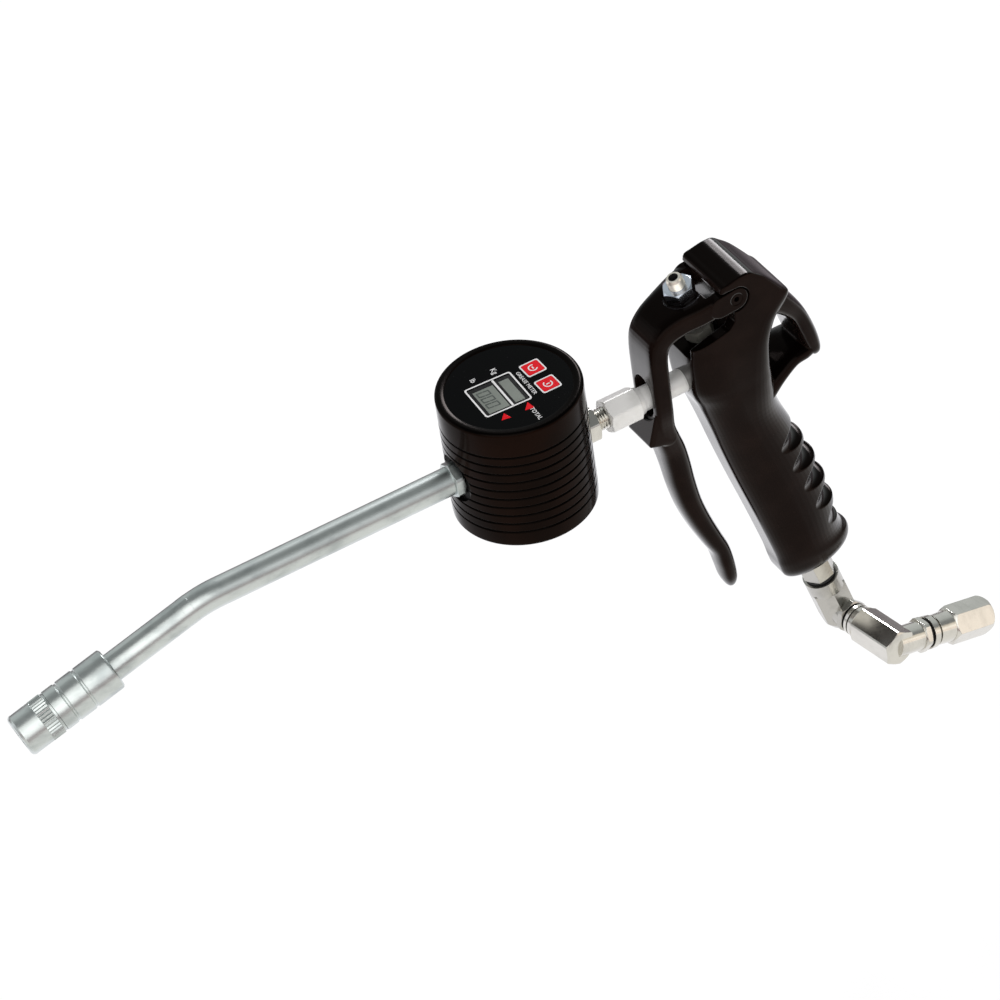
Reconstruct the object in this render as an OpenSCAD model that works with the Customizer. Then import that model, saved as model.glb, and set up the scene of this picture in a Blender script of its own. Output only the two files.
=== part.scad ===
// Grease control gun with an in-line digital meter, a bent delivery tube,
// a four-jaw coupler and a triple swivel inlet. Millimetres, +Z up.
// The origin is the centre of the meter's flat base.

/* [Meter] */
// Meter housing diameter
meter_d = 50; // [40:0.5:70]
// Meter housing height
meter_h = 49; // [40:0.5:70]
// Number of turned grip grooves
rib_count = 10; // [4:1:14]
// Depth of a grip groove
rib_depth = 0.8; // [0.4:0.1:1.5]
// Height of the inlet port above the base
port_in_z = 17.4; // [12:0.1:24]
// Height of the outlet port above the base
port_out_z = 21.9; // [12:0.1:24]
// Teeth on each metering gear
gear_teeth = 10; // [8:1:12]
// Metering gear module
gear_m = 1.5; // [1:0.1:2]

/* [Delivery tube] */
// Tube outside diameter
tube_d = 10; // [6:0.5:14]
// Distance from the meter axis to the bend's corner
bend_x = 121; // [80:1:200]
// Bend angle
bend_a = 15.9; // [0:0.1:45]
// Bend radius on the tube's axis
bend_r = 40; // [30:1:90]
// Coupler outside diameter
coupler_d = 15.2; // [13:0.1:18]
// Coupler length
coupler_l = 37.5; // [30:0.5:45]

/* [Gun] */
// Lean of the valve and grip axis
gun_tilt = 15.5; // [0:0.5:25]
// Valve axis position along the gun
valve_x = 73.65; // [60:0.05:90]
// Height where the valve axis leaves the body
valve_z = 34.2; // [25:0.1:45]
// Lever pivot position along the gun
pivot_x = 82.5; // [75:0.1:95]
// Lever pivot height
pivot_z = 51.4; // [45:0.1:60]
// Width of the gun's head
head_w = 25; // [20:0.5:30]

/* [Swivel] */
// Turn of the first elbow about the grip axis
swivel_a1 = 8.765; // [-90:0.005:90]
// Drop of the end connector
swivel_a2 = 33.348; // [-60:0.002:180]
// Distance from the stud's rim to the cross axis
swivel_l1 = 21; // [16:0.5:30]
// Length of the second elbow
swivel_l2 = 30.5; // [24:0.5:40]
// Reach of the end connector
swivel_l3 = 45; // [40:0.1:60]

/* [Hidden] */
$fn = 64;
e = 0.01;
meter_r = meter_d / 2;
face_r = 21.6;
face_z = meter_h - 1.8;
bore_r = 18.6;
tube_r = tube_d / 2;
gear_p = gear_m * gear_teeth / 2;
gear_tip = gear_p + 0.85 * gear_m;
rim_t = 135.3;
stud_t = 120;
arm_r = 4.4;
nose_s = 37.1;
lcd_c = [-4.75, -1.15];
lcd_turn = -3;
key_1 = [11.4, 3.3];
key_2 = [11.15, -6.95];

// Shared curves

function row(t, i) = t[max(0, min(len(t) - 1, i))];

function spline(a, b, c, d, u) =
    0.5 * (2 * b + (c - a) * u + (2 * a - 5 * b + 4 * c - d) * u * u
    + (3 * b - a - 3 * c + d) * u * u * u);

function refine(t, k) = concat(
    [for (i = [0:len(t) - 2], j = [0:k - 1])
        spline(row(t, i - 1), row(t, i), row(t, i + 1), row(t, i + 2), j / k)],
    [t[len(t) - 1]]);

function pw(v, k) = sign(v) * pow(abs(v), k);

function unit(v) = v / norm(v);

// A closed skin over rings of equal length
module skin(rings) {
    n = len(rings[0]);
    m = len(rings);
    pts = [for (r = rings) each r];
    sides = [for (i = [0:m - 2], j = [0:n - 1])
        let (a = i * n + j, b = i * n + (j + 1) % n)
        each [[a, a + n, b], [b, a + n, b + n]]];
    caps = [[for (j = [0:n - 1]) j], [for (j = [n - 1:-1:0]) (m - 1) * n + j]];
    polyhedron(points = pts, faces = concat(sides, caps), convexity = 6);
}

// One level of the gun body: narrow flat front, widest in the middle, rounded back
function body_ring(r) =
    let (z = r[0], xf = r[1], xb = r[2], w = r[3], wf = r[4], nf = r[5], nb = r[6], lean = r[7])
    let (xm = xf + 0.45 * (xb - xf))
    let (front = [for (k = [0:6]) let (a = 15 * k)
        [xm - (xm - xf) * pw(cos(a), 2 / nf), wf + (w - wf) * pw(sin(a), 2 / nf)]])
    let (back = [for (k = [1:7]) let (a = 90 * k / 7)
        [xm + (xb - xm) * pw(sin(a), 2 / nb), w * pw(cos(a), 2 / nb)]])
    let (half = concat(front, back))
    concat([for (p = half) [p[0], -p[1], z + lean * (p[0] - xm)]],
        [for (k = [len(half) - 2:-1:0]) let (p = half[k]) [p[0], p[1], z + lean * (p[0] - xm)]]);

// A level across a bar that follows a path in the XZ plane
function bar_ring(t, i) =
    let (p = t[i], q = row(t, i + 1) - row(t, i - 1))
    let (d = unit([q[0], q[1]]), n = [-d[1], d[0]])
    [for (k = [0:23]) let (a = -15 * k)
        let (u = p[2] / 2 * pw(cos(a), 2 / p[4]), v = p[3] / 2 * pw(sin(a), 2 / p[4]))
        [p[0] + n[0] * u, v, p[1] + n[1] * u]];

// A coil of round wire standing on z = 0
module coil(mean_r, wire_r, length, turns) {
    steps = 8 * turns;
    rings = [for (i = [0:steps])
        let (a = 360 * i / 8, z = wire_r + (length - 2 * wire_r) * i / steps)
        [for (k = [0:5]) let (b = -60 * k)
            [(mean_r + wire_r * cos(b)) * cos(a), (mean_r + wire_r * cos(b)) * sin(a),
                z + wire_r * sin(b)]]];
    skin(rings);
}

// Frames

module gun_frame() {
    translate([valve_x, 0, valve_z]) rotate([0, -gun_tilt, 0]) children();
}

module arm_frame() {
    gun_frame() translate([0, 0, -rim_t - swivel_l1]) rotate([0, 0, swivel_a1])
        rotate([90, 0, 0]) children();
}

module end_frame() {
    arm_frame() translate([0, 0, swivel_l2]) rotate([0, 0, -swivel_a2]) rotate([0, 90, 0])
        children();
}

module along_x(x, z) {
    translate([x, 0, z]) rotate([0, 90, 0]) children();
}

module nose_frame() {
    translate([-bend_x, 0, port_out_z]) rotate([0, -90 - bend_a, 0]) translate([0, 0, nose_s])
        children();
}

module across(x, z, r, w) {
    translate([x, 0, z]) rotate([90, 0, 0]) cylinder(r = r, h = w, center = true);
}

module hex(af, h) {
    cylinder(d = af / cos(30), h = h, $fn = 6);
}

// Hexagon with turned chamfers on both ends
module hex_bar(af, h, c = 0.8) {
    intersection() {
        hex(af, h);
        rotate_extrude() polygon([[0, 0], [af / 2 - 0.1, 0], [af / 2 + c, c * 0.6],
            [af / 2 + c, h - c * 0.6], [af / 2 - 0.1, h], [0, h]]);
    }
}

module ring(r_out, r_in, h) {
    difference() {
        cylinder(r = r_out, h = h);
        translate([0, 0, -1]) cylinder(r = r_in, h = h + 2);
    }
}

// Turned thread: a row of shallow rings, root to crest
module thread(r, h, pitch = 0.9) {
    n = floor(h / pitch);
    p = h / n;
    rotate_extrude() polygon(concat([[0, 0]],
        [for (i = [0:n - 1]) each [[r - 0.45, p * i], [r, p * (i + 0.5)]]],
        [[r - 0.45, h], [0, h]]));
}

module round_plate(w, h, r, t) {
    translate([-w / 2 + r, -h / 2, 0]) cube([w - 2 * r, h, t]);
    translate([-w / 2, -h / 2 + r, 0]) cube([w, h - 2 * r, t]);
    for (x = [-1, 1], y = [-1, 1])
        translate([x * (w / 2 - r), y * (h / 2 - r), 0]) cylinder(r = r, h = t, $fn = 24);
}

// Gun

module gun_body() {
    levels = refine([
        [-86.4, 99, 116, 5.5, 2.4, 1.7, 2.2, 0.25],
        [-85.6, 96, 119.4, 8, 3, 1.7, 2.2, 0.25],
        [-83.2, 93.6, 122, 9.8, 3.7, 1.6, 2.2, 0.22],
        [-79, 92.1, 121.9, 10.4, 4, 1.6, 2.2, 0.16],
        [-73, 90.6, 118.6, 10.5, 4.2, 1.6, 2.2, 0.08],
        [-56, 85.5, 116.5, 10.6, 4.2, 1.6, 2.3, 0],
        [-34, 78.9, 110.4, 10.8, 4.2, 1.6, 2.3, 0],
        [-18, 74.4, 103.6, 11, 4.4, 1.6, 2.4, 0],
        [-5, 71, 98.6, 11.3, 4.6, 1.7, 2.6, 0],
        [6, 67.8, 96.2, 11.8, 4.8, 1.8, 4, 0],
        [12, 65.6, 95.2, 12, 5, 2, 5.5, 0],
        [17, 64.6, 94.4, 12.2, 5.3, 2.2, 7, 0],
        [27, 64.2, 94.6, 12.5, 6, 2.6, 9, 0],
        [34, 64.6, 96.8, 12.5, 7.2, 2.9, 10, 0],
        [38, 65, 99, 12.5, 8, 3.2, 12, 0],
        [43.6, 68.3, 103.3, 12.5, 9.4, 3.8, 14, 0],
        [47, 70.6, 101.1, 12.5, 10, 4, 14, 0],
        [54.6, 75.8, 95.1, 12.5, 11, 5, 14, 0],
        [58.2, 77.2, 91.1, 12.5, 11.4, 6, 14, 0],
        [60, 82.8, 89, 12.2, 11.2, 6, 12, 0],
        [60.8, 85.8, 87.9, 11.6, 10.9, 6, 10, 0]], 2);
    tail = refine([
        [94, 48, 8, 21, 3.6],
        [98.6, 43.2, 7.6, 20.4, 3.6],
        [103.2, 36.9, 6.8, 19.8, 3.6],
        [107.3, 29.9, 6.6, 19.4, 3.6],
        [110.2, 21.8, 6.8, 19.2, 3.6],
        [112.2, 14.6, 6.8, 19, 3.4],
        [113.2, 10.4, 5.6, 18, 3],
        [113.7, 8.4, 3.2, 15, 2.6],
        [113.8, 7.4, 1.2, 11, 2.4]], 2);
    foot = refine([
        [113, 11.7, 5.2, 17, 3],
        [109.4, 11.1, 5.8, 18.8, 3.2],
        [104.4, 10.4, 5.6, 19.4, 3.2],
        [99.6, 7.2, 5.8, 19.6, 3.2],
        [95, 3, 6.8, 19.4, 3.2],
        [90, -4, 7, 18, 3.2]], 2);
    color([0.1, 0.08, 0.075]) difference() {
        union() {
            skin([for (r = levels) body_ring(r)]);
            skin([for (i = [0:len(tail) - 1]) bar_ring(tail, i)]);
            skin([for (i = [0:len(foot) - 1]) bar_ring(foot, i)]);
        }
        lever_space();
        // finger scoops round the back of the grip
        for (k = [0:4])
            gun_frame() translate([0.2 + 0.42 * k, 0, -61.6 - 11.5 * k]) rotate([0, 0, -90])
                rotate_extrude(angle = 180) translate([16.4, 0]) circle(r = 5, $fn = 32);
        // valve bores from the top
        gun_frame() {
            translate([0, 0, -10]) cylinder(r = 5.02, h = 30);
            translate([0, 0, -30.5]) cylinder(r = 4.2, h = 21);
            translate([0, 0, -46]) cylinder(r = 3.4, h = 16);
            translate([0, 0, -stud_t + e]) cylinder(r = 2.2, h = stud_t - 45);
            translate([0, 0, -rim_t - 4]) cylinder(r = 4.87, h = rim_t + 4 - 111.9);
            // flat seat for the swivel stud's hexagon
            translate([0, 0, -rim_t - 4]) cylinder(r = 7, h = rim_t + 4 - stud_t);
        }
        // outlet bore and its passage to the valve
        along_x(50, port_in_z) cylinder(r = 4.32, h = 20.5);
        along_x(70, port_in_z) cylinder(r = 1.8, h = 8);
        across(pivot_x, pivot_z, 2.2, head_w + 10);
    }
}

// Room for the lever: side pockets round the arm ends and the open front of the head
module lever_space() {
    outline = [[pivot_x, pivot_z + 4.95], [76, pivot_z + 4.6], [70, pivot_z + 3.8],
        [45, pivot_z - 1], [45, 33], [62, 35], [67, 36.8], [73, 38.6], [78.6, 40.2], [80.8, 42.6],
        [81.2, 46.7], [pivot_x, pivot_z - 4.95]];
    web = [[pivot_x - 5.6, pivot_z + 9], [45, pivot_z - 1], [45, 25.6], [62, 31], [70, 33.2],
        [79.4, 35.8], [79.8, 41], [pivot_x - 5.6, 46.4]];
    for (s = [-1, 1]) {
        translate([0, s > 0 ? 20 : -8, 0]) rotate([90, 0, 0]) linear_extrude(12) polygon(outline);
        translate([pivot_x, s > 0 ? 20 : -8, pivot_z]) rotate([90, 0, 0])
            cylinder(r = 4.95, h = 12);
    }
    intersection() {
        translate([0, 8.1, 0]) rotate([90, 0, 0]) linear_extrude(16.2) polygon(web);
        translate([0, 15, 0]) rotate([90, 0, 0]) linear_extrude(30)
            polygon([[45, 20], [90, 20], [90, 56.4], [76, pivot_z + 4.6], [70, pivot_z + 3.8],
                [45, pivot_z - 1]]);
    }
    gun_frame() translate([0, 0, e]) cylinder(r = 6.6, h = 12);
}

module lever() {
    path = refine([
        [80.5, 51.3, 8.5, 24.8, 7],
        [75, 50.6, 8.6, 24.7, 7],
        [69, 49.2, 8.8, 23, 6],
        [63, 47.6, 8.8, 19.6, 6],
        [58, 45.4, 8.6, 17.6, 6],
        [54.5, 41.8, 8, 16.6, 6],
        [53.2, 36, 7.3, 16.2, 7],
        [53, 26, 7.2, 16, 7],
        [53, 14, 7.2, 15.6, 7],
        [53.3, 5.5, 7.8, 14, 5],
        [54.6, -1, 8.8, 13, 4],
        [56.4, -8, 9.6, 12, 3.2],
        [57.8, -16, 9.7, 11.5, 2.8],
        [59, -25, 9.4, 11.2, 2.7],
        [60.9, -35, 8.8, 11, 2.7],
        [63.9, -45, 8.2, 10.8, 2.7],
        [67.7, -55, 7.4, 10.6, 2.7],
        [70.5, -62, 6.7, 10.4, 2.7],
        [72, -69.5, 6.3, 10, 2.7],
        [72.9, -76, 5.6, 9, 2.6],
        [73.3, -79.6, 3.8, 6.4, 2.4],
        [73.5, -81, 1.6, 3.4, 2.2]], 2);
    color([0.1, 0.08, 0.075]) difference() {
        union() {
            skin([for (i = [0:len(path) - 1]) bar_ring(path, i)]);
            // rounded arm ends on the pivot
            for (s = [-1, 1]) translate([0, s * 10.4, 0]) {
                across(pivot_x, pivot_z, arm_r, 4);
                hull() {
                    translate([pivot_x, 0, pivot_z]) rotate([90, 0, 0])
                        cylinder(r = arm_r - 0.02, h = 4, center = true, $fn = 32);
                    translate([76.5, 0, pivot_z - 0.6]) rotate([90, 0, 0])
                        cylinder(r = arm_r - 0.15, h = 4, center = true, $fn = 32);
                }
            }
            // lip above the fingers
            hull() {
                across(46.6, 2.2, 1, 14, $fn = 24);
                across(50, 12.4, 1.2, 14, $fn = 24);
                across(54, 1, 2.6, 13, $fn = 24);
            }
        }
        // fork
        translate([73, -8.4, 30]) cube([20, 16.8, 40]);
        // slot for the outlet rod, and the scoop in front of it
        hull() {
            along_x(48, 21.6) cylinder(r = 5.2, h = 12, $fn = 32);
            along_x(48, 15.4) cylinder(r = 5.2, h = 12, $fn = 32);
        }
        along_x(40, port_in_z) cylinder(r = 7.7, h = 9.4);
        across(pivot_x, pivot_z, 2.25, head_w + 10);
        gun_frame() {
            translate([0, 0, 5]) cylinder(r = 3.02, h = 30);
            translate([0, 0, 19.4]) cylinder(r = 6.6, h = 10);
        }
    }
}

module lever_pin() {
    color([0.35, 0.33, 0.32]) difference() {
        across(pivot_x, pivot_z, 2.19, 24.4);
        across(pivot_x, pivot_z, 1, 30);
    }
}

module set_screw() {
    color([0.75, 0.76, 0.78]) gun_frame() translate([0, 0, 12]) difference() {
        union() {
            cylinder(r1 = 1.7, r2 = 2.5, h = 1);
            translate([0, 0, 1]) thread(3, 14.6, 0.97);
            translate([0, 0, 15.6]) cylinder(r1 = 2.9, r2 = 2.4, h = 0.9);
        }
        translate([0, 0, 13.5]) hex(3, 4);
    }
}

module lock_nut() {
    color([0.72, 0.75, 0.8]) gun_frame() translate([0, 0, 19.45]) difference() {
        hex_bar(10, 5, 1.1);
        translate([0, 0, -1]) cylinder(r = 3.02, h = 8);
    }
}

module valve_stem() {
    color([0.7, 0.7, 0.7]) gun_frame() {
        translate([0, 0, -20]) cylinder(r = 1.6, h = 31.4);
        translate([0, 0, 11.3]) cylinder(r1 = 1.6, r2 = 1.1, h = 0.5);
        translate([0, 0, -29.5]) cylinder(r = 1.2, h = 9.6);
    }
}

module valve_ball() {
    color([0.8, 0.8, 0.8]) gun_frame() translate([0, 0, -32.25]) sphere(r = 2.7);
}

module gland_nut() {
    color([0.7, 0.7, 0.66]) gun_frame() difference() {
        union() {
            translate([0, 0, -9.95]) thread(5, 9.95, 1);
            hex_bar(9.6, 4.2, 0.7);
        }
        translate([0, 0, -12]) cylinder(r = 1.66, h = 20);
    }
}

module stem_packing() {
    color([0.12, 0.12, 0.12]) gun_frame() translate([0, 0, -13.95]) ring(4.15, 1.65, 3.9);
}

module valve_cage() {
    color([0.75, 0.62, 0.3]) gun_frame() difference() {
        translate([0, 0, -25.95]) ring(4.15, 2.9, 11.95);
        translate([-8, 0, -18.4]) rotate([0, 90 + gun_tilt, 0]) cylinder(r = 1.8, h = 16);
    }
}

module valve_seat() {
    color([0.6, 0.6, 0.62]) gun_frame() translate([0, 0, -30.45]) difference() {
        cylinder(r = 4.15, h = 4.45);
        translate([0, 0, -1]) cylinder(r = 2.1, h = 7);
    }
}

module valve_spring() {
    mean_r = 2.5;
    wire_r = 0.4;
    length = 12.1;
    turns = 6;
    gap = length / turns - 2 * wire_r;
    echo("valve spring least gap", gap);
    color([0.6, 0.6, 0.6]) gun_frame() translate([0, 0, -45.9]) coil(mean_r, wire_r, length, turns);
}

module outlet_adapter() {
    color([0.85, 0.83, 0.78]) difference() {
        union() {
            along_x(33.6, port_in_z) hex_bar(11.2, 12.2, 0.7);
            along_x(45.7, port_in_z) cylinder(r1 = 5.2, r2 = 4.8, h = 1.9);
            along_x(47.5, port_in_z) cylinder(r = 4.3, h = 22.8);
        }
        along_x(30, port_in_z) cylinder(r = 3.92, h = 11.6);
        along_x(40, port_in_z) cylinder(r = 1.8, h = 40);
    }
}

module inlet_fitting() {
    color([0.85, 0.84, 0.8]) difference() {
        union() {
            along_x(bore_r + 0.1, port_in_z) thread(4.8, 4.9, 0.9);
            along_x(bore_r + 4.95, port_in_z) hex_bar(11.4, 5.6, 0.7);
            along_x(bore_r + 10.5, port_in_z) thread(3.9, 11.6, 0.9);
        }
        along_x(10, port_in_z) cylinder(r = 1.8, h = 40);
    }
}

module inlet_seal() {
    color([0.1, 0.1, 0.1]) along_x(40.8, port_in_z) ring(3.8, 1.9, 0.7);
}

// Meter

module meter_housing() {
    band = 6.3;
    pitch = (meter_h - 10.1 - band) / (rib_count - 1);
    grooves = [for (i = [0:rib_count - 1]) let (z = band + pitch * i)
        each [[meter_r, z - 0.5], [meter_r - rib_depth, z], [meter_r, z + 0.35]]];
    crown = [for (k = [0:8]) let (a = 11.25 * k)
        [meter_r - 1.3 + 1.3 * cos(a), meter_h - 1.3 + 1.3 * sin(a)]];
    outer = concat([[0, 0], [meter_r - 0.8, 0], [meter_r - 0.2, 0.6], [meter_r, 2]], grooves,
        crown, [[0, meter_h]]);
    color([0.11, 0.085, 0.075]) difference() {
        rotate_extrude($fn = 128) polygon(outer);
        // face recess and electronics bay
        translate([0, 0, face_z]) cylinder(r = face_r + 0.05, h = 5);
        translate([0, 0, 34]) cylinder(r = 19.5, h = 20);
        // measuring bore from below
        translate([0, 0, -1]) cylinder(r = bore_r, h = 29);
        // ports with round spot faces
        along_x(15, port_in_z) cylinder(r = 4.82, h = 20);
        along_x(bore_r + 4.9, port_in_z) cylinder(r = 7.6, h = 10);
        along_x(-30, port_out_z) cylinder(r = 4.82, h = 15);
        along_x(-35, port_out_z) cylinder(r = 8.6, h = 35 - bore_r - 4.9);
        for (x = [-13.5, 13.5], y = [-6, 6])
            translate([x, y, 27]) cylinder(r = 1.67, h = 5);
        for (a = [30, 150, 270]) rotate([0, 0, a])
            translate([17, 0, 31]) cylinder(r = 0.8, h = 4);
    }
}

module face_panel() {
    color([0.02, 0.02, 0.02]) translate([0, 0, face_z + 0.02]) difference() {
        cylinder(r = face_r, h = 1.5);
        translate([lcd_c[0], lcd_c[1], -1]) rotate([0, 0, lcd_turn])
            round_plate(16.3, 15.5, 0.8, 4);
        for (k = [key_1, key_2]) translate([k[0], k[1], -1]) round_plate(7.36, 7.16, 0.9, 4);
    }
}

module lcd_module() {
    color([0.42, 0.46, 0.42]) translate([lcd_c[0], lcd_c[1], 0])
        rotate([0, 0, lcd_turn]) {
        translate([0, 0, 43.3]) round_plate(18, 18, 0.6, face_z - 43.4);
        translate([0, 0, 42.05]) round_plate(13, 13, 0.6, 1.4);
        translate([0, 0, face_z - 0.2]) round_plate(16.2, 15.4, 0.75, 1.5);
    }
}

module key(c) {
    color([0.85, 0.05, 0.08]) translate([c[0], c[1], 0]) {
        translate([0, 0, face_z - 1.3]) round_plate(8.2, 8, 0.8, 0.9);
        translate([0, 0, face_z - 0.5]) round_plate(6.1, 5.9, 0.6, 2.2);
        translate([0, 0, 44.05]) cylinder(r = 1.4, h = face_z - 45.2);
    }
}

module button_1() {
    key(key_1);
}

module button_2() {
    key(key_2);
}

module button_bezels() {
    color([0.95, 0.95, 0.95]) for (k = [key_1, key_2])
        translate([k[0], k[1], face_z + 0.05]) difference() {
            round_plate(7.3, 7.1, 0.85, 1.6);
            translate([0, 0, -1]) round_plate(6.3, 6.1, 0.65, 4);
        }
}

module circuit_board() {
    color([0.1, 0.3, 0.15]) difference() {
        translate([0, 0, 40.4]) cylinder(r = 18.9, h = 1.6);
        for (a = [30, 150, 270]) rotate([0, 0, a]) translate([17, 0, 40]) cylinder(r = 0.9, h = 4);
    }
    color([0.08, 0.08, 0.08]) translate([4, 13, 38.4]) cube([5, 3, 2.02]);
}

module board_screws() {
    color([0.7, 0.7, 0.7]) for (a = [30, 150, 270]) rotate([0, 0, a]) translate([17, 0, 0]) {
        translate([0, 0, 31.5]) cylinder(r = 0.78, h = 11);
        translate([0, 0, 34.05]) ring(1.5, 0.77, 6.3);
        translate([0, 0, 42.05]) cylinder(r = 1.6, h = 1);
    }
}

module battery() {
    color([0.75, 0.76, 0.78]) translate([0, -1, 34.1]) {
        cylinder(r = 12.2, h = 3.2);
        translate([0, 0, 3.1]) cylinder(r = 10.6, h = 0.9);
    }
}

module key_domes() {
    color([0.8, 0.75, 0.6]) for (k = [key_1, key_2])
        translate([k[0], k[1], 42.05]) cylinder(r1 = 2.4, r2 = 1.4, h = 1.3);
}

module chamber_block() {
    color([0.6, 0.62, 0.64]) difference() {
        translate([0, 0, 12.05]) cylinder(r = bore_r - 0.05, h = 15.85);
        for (s = [-1, 1]) translate([0, s * gear_p, 10]) cylinder(r = gear_tip + 0.32, h = 15.4);
        for (s = [-1, 1]) translate([0, s * gear_p, 20]) cylinder(r = 2.02, h = 7);
        along_x(3, port_in_z) cylinder(r = 2.4, h = 20);
        along_x(-23, port_out_z) cylinder(r = 2.4, h = 20);
        for (x = [-13.5, 13.5], y = [-6, 6])
            translate([x, y, 10]) cylinder(r = 1.7, h = 20);
    }
}

function inv(a) = tan(a) * 180 / PI - a;

function tooth(n, m) =
    let (rp = m * n / 2, rb = rp * cos(25), ra = rp + 0.85 * m, rr = rp - 1.15 * m)
    let (half = 90 / n - 0.32 / (2 * rp) * 180 / PI)
    let (flank = [for (k = [0:5]) let (r = rb + 0.02 + (ra - rb - 0.02) * k / 5)
        [r, half + inv(25) - inv(acos(rb / r))]])
    concat([[rr, -flank[0][1]]], [for (p = flank) [p[0], -p[1]]],
        [for (k = [5:-1:0]) flank[k]], [[rr, flank[0][1]]]);

module gear(n, m, h) {
    t = tooth(n, m);
    linear_extrude(h) difference() {
        polygon([for (i = [0:n - 1], p = t) let (a = p[1] + 360 * i / n)
            [p[0] * cos(a), p[0] * sin(a)]]);
        circle(r = 2.06);
    }
}

module gear_a() {
    color([0.55, 0.55, 0.57]) translate([0, gear_p, 12.3]) difference() {
        rotate([0, 0, -90]) gear(gear_teeth, gear_m, 12.8);
        for (s = [-1, 1]) translate([s * 4, 0, 11]) cylinder(r = 1.02, h = 3);
    }
}

module gear_b() {
    color([0.55, 0.55, 0.57]) translate([0, -gear_p, 12.3])
        rotate([0, 0, 90 + 180 / gear_teeth]) gear(gear_teeth, gear_m, 12.8);
}

module gear_axles() {
    color([0.7, 0.7, 0.7]) for (s = [-1, 1])
        translate([0, s * gear_p, 6]) cylinder(r = 2, h = 20.9);
}

module gear_magnets() {
    color([0.3, 0.3, 0.32]) for (s = [-1, 1])
        translate([s * 4, gear_p, 23.35]) cylinder(r = 1, h = 1.7);
}

module base_cover() {
    color([0.3, 0.29, 0.28]) difference() {
        cylinder(r = bore_r - 0.05, h = 12);
        translate([0, 0, 6]) ring(bore_r + 1, bore_r - 1.5, 1.7);
        for (s = [-1, 1]) translate([0, s * gear_p, 5.9]) cylinder(r = 2.02, h = 8);
        for (x = [-13.5, 13.5], y = [-6, 6]) translate([x, y, 0]) {
            translate([0, 0, -1]) cylinder(r = 1.7, h = 20);
            translate([0, 0, -1]) cylinder(r = 3.1, h = 5);
        }
    }
}

module base_seal() {
    color([0.05, 0.05, 0.05]) translate([0, 0, 6.85])
        rotate_extrude() translate([bore_r - 0.77, 0]) circle(r = 0.72, $fn = 24);
}

module base_screws() {
    color([0.5, 0.5, 0.5]) for (x = [-13.5, 13.5], y = [-6, 6]) translate([x, y, 0]) difference() {
        union() {
            translate([0, 0, 3.95]) cylinder(r = 1.65, h = 27.5);
            translate([0, 0, 0.7]) cylinder(r = 3, h = 3.28);
        }
        translate([0, 0, -0.1]) hex(2.5, 2.6);
    }
}

// Delivery line

module outlet_fitting() {
    color([0.55, 0.55, 0.53]) difference() {
        union() {
            along_x(-bore_r - 5, port_out_z) thread(4.8, 4.9, 0.9);
            along_x(-26.95, port_out_z) hex_bar(11.6, 3.4, 0.6);
        }
        along_x(-40, port_out_z) cylinder(r = 1.9, h = 30);
        along_x(-40, port_out_z) cylinder(r = tube_r + 0.02, h = 14.2);
    }
}

module delivery_tube() {
    tangent = bend_r * tan(bend_a / 2);
    start = 25.9;
    color([0.62, 0.65, 0.64]) {
        along_x(-bend_x + tangent, port_out_z) ring(tube_r, 2, bend_x - tangent - start);
        translate([-bend_x + tangent, 0, port_out_z - bend_r]) rotate([90, 0, 0])
            rotate([0, 0, 90]) rotate_extrude(angle = bend_a) translate([bend_r, 0])
                difference() {
                    circle(r = tube_r);
                    circle(r = 2);
                }
        // drawn end, joined to the bend by a fine swage band
        nose_frame() translate([0, 0, tangent - nose_s]) {
            translate([0, 0, 0.6]) ring(tube_r, 2, nose_s - tangent + 8.4);
            translate([0, 0, -1.2]) ring(tube_r + 0.04, 2.2, 3.4);
        }
    }
}

module coupler_body() {
    r = coupler_d / 2;
    color([0.6, 0.62, 0.6]) nose_frame() difference() {
        rotate_extrude() polygon([[0, 0], [r - 0.7, 0], [r - 0.1, 0.5], [r, 1], [r, 10.4],
            [r - 0.4, 10.8], [r - 0.4, 11.3], [r, 11.7], [r, 17.7], [r - 0.4, 18.1],
            [r - 0.4, 18.6], [r, 19], [r, 23.2], [5.9, 23.2], [5.9, 27], [0, 27]]);
        translate([0, 0, -1]) cylinder(r = tube_r + 0.02, h = 10.2);
        translate([0, 0, 5]) cylinder(r = 2, h = 12);
        translate([0, 0, 13]) cylinder(r = 4.3, h = 20);
    }
}

module coupler_cap() {
    r = coupler_d / 2;
    teeth = 40;
    knurl = [for (i = [0:teeth - 1]) let (a = 360 * i / teeth)
        each [[(r + 0.05) * cos(a), (r + 0.05) * sin(a)],
            [(r - 0.35) * cos(a + 4.5), (r - 0.35) * sin(a + 4.5)]]];
    color([0.62, 0.64, 0.62]) nose_frame() difference() {
        union() {
            rotate_extrude() polygon([[0, 23.3], [r - 0.3, 23.3], [r - 0.3, 24.2], [r - 0.5, 24.2],
                [r - 0.5, 28.9], [r, 28.9], [r, coupler_l - 1.1], [r - 0.5, coupler_l - 0.3],
                [r - 1.2, coupler_l], [0, coupler_l]]);
            translate([0, 0, 24.2]) linear_extrude(4.7) polygon(knurl);
        }
        translate([0, 0, 20]) cylinder(r = 5.93, h = 8);
        translate([0, 0, 26]) cylinder(r = 5.6, h = 9.4);
        translate([0, 0, 30]) cylinder(r = 4.4, h = 10);
    }
}

// One quarter of the gripping collet
module jaw(a) {
    color([0.4, 0.41, 0.42]) nose_frame() rotate([0, 0, a]) difference() {
        intersection() {
            translate([0, 0, 28.6]) rotate_extrude() polygon([[3.2, 0], [5, 0], [5, 6], [4, 6.3],
                [4, 7.6], [2.55, 7.6], [2.55, 6], [3.2, 5]]);
            translate([0, 0, 20]) linear_extrude(20) polygon([[0.6, 0], [9, 8.4], [9, -8.4]]);
        }
    }
}

module jaw_1() {
    jaw(0);
}

module jaw_2() {
    jaw(90);
}

module jaw_3() {
    jaw(180);
}

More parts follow.
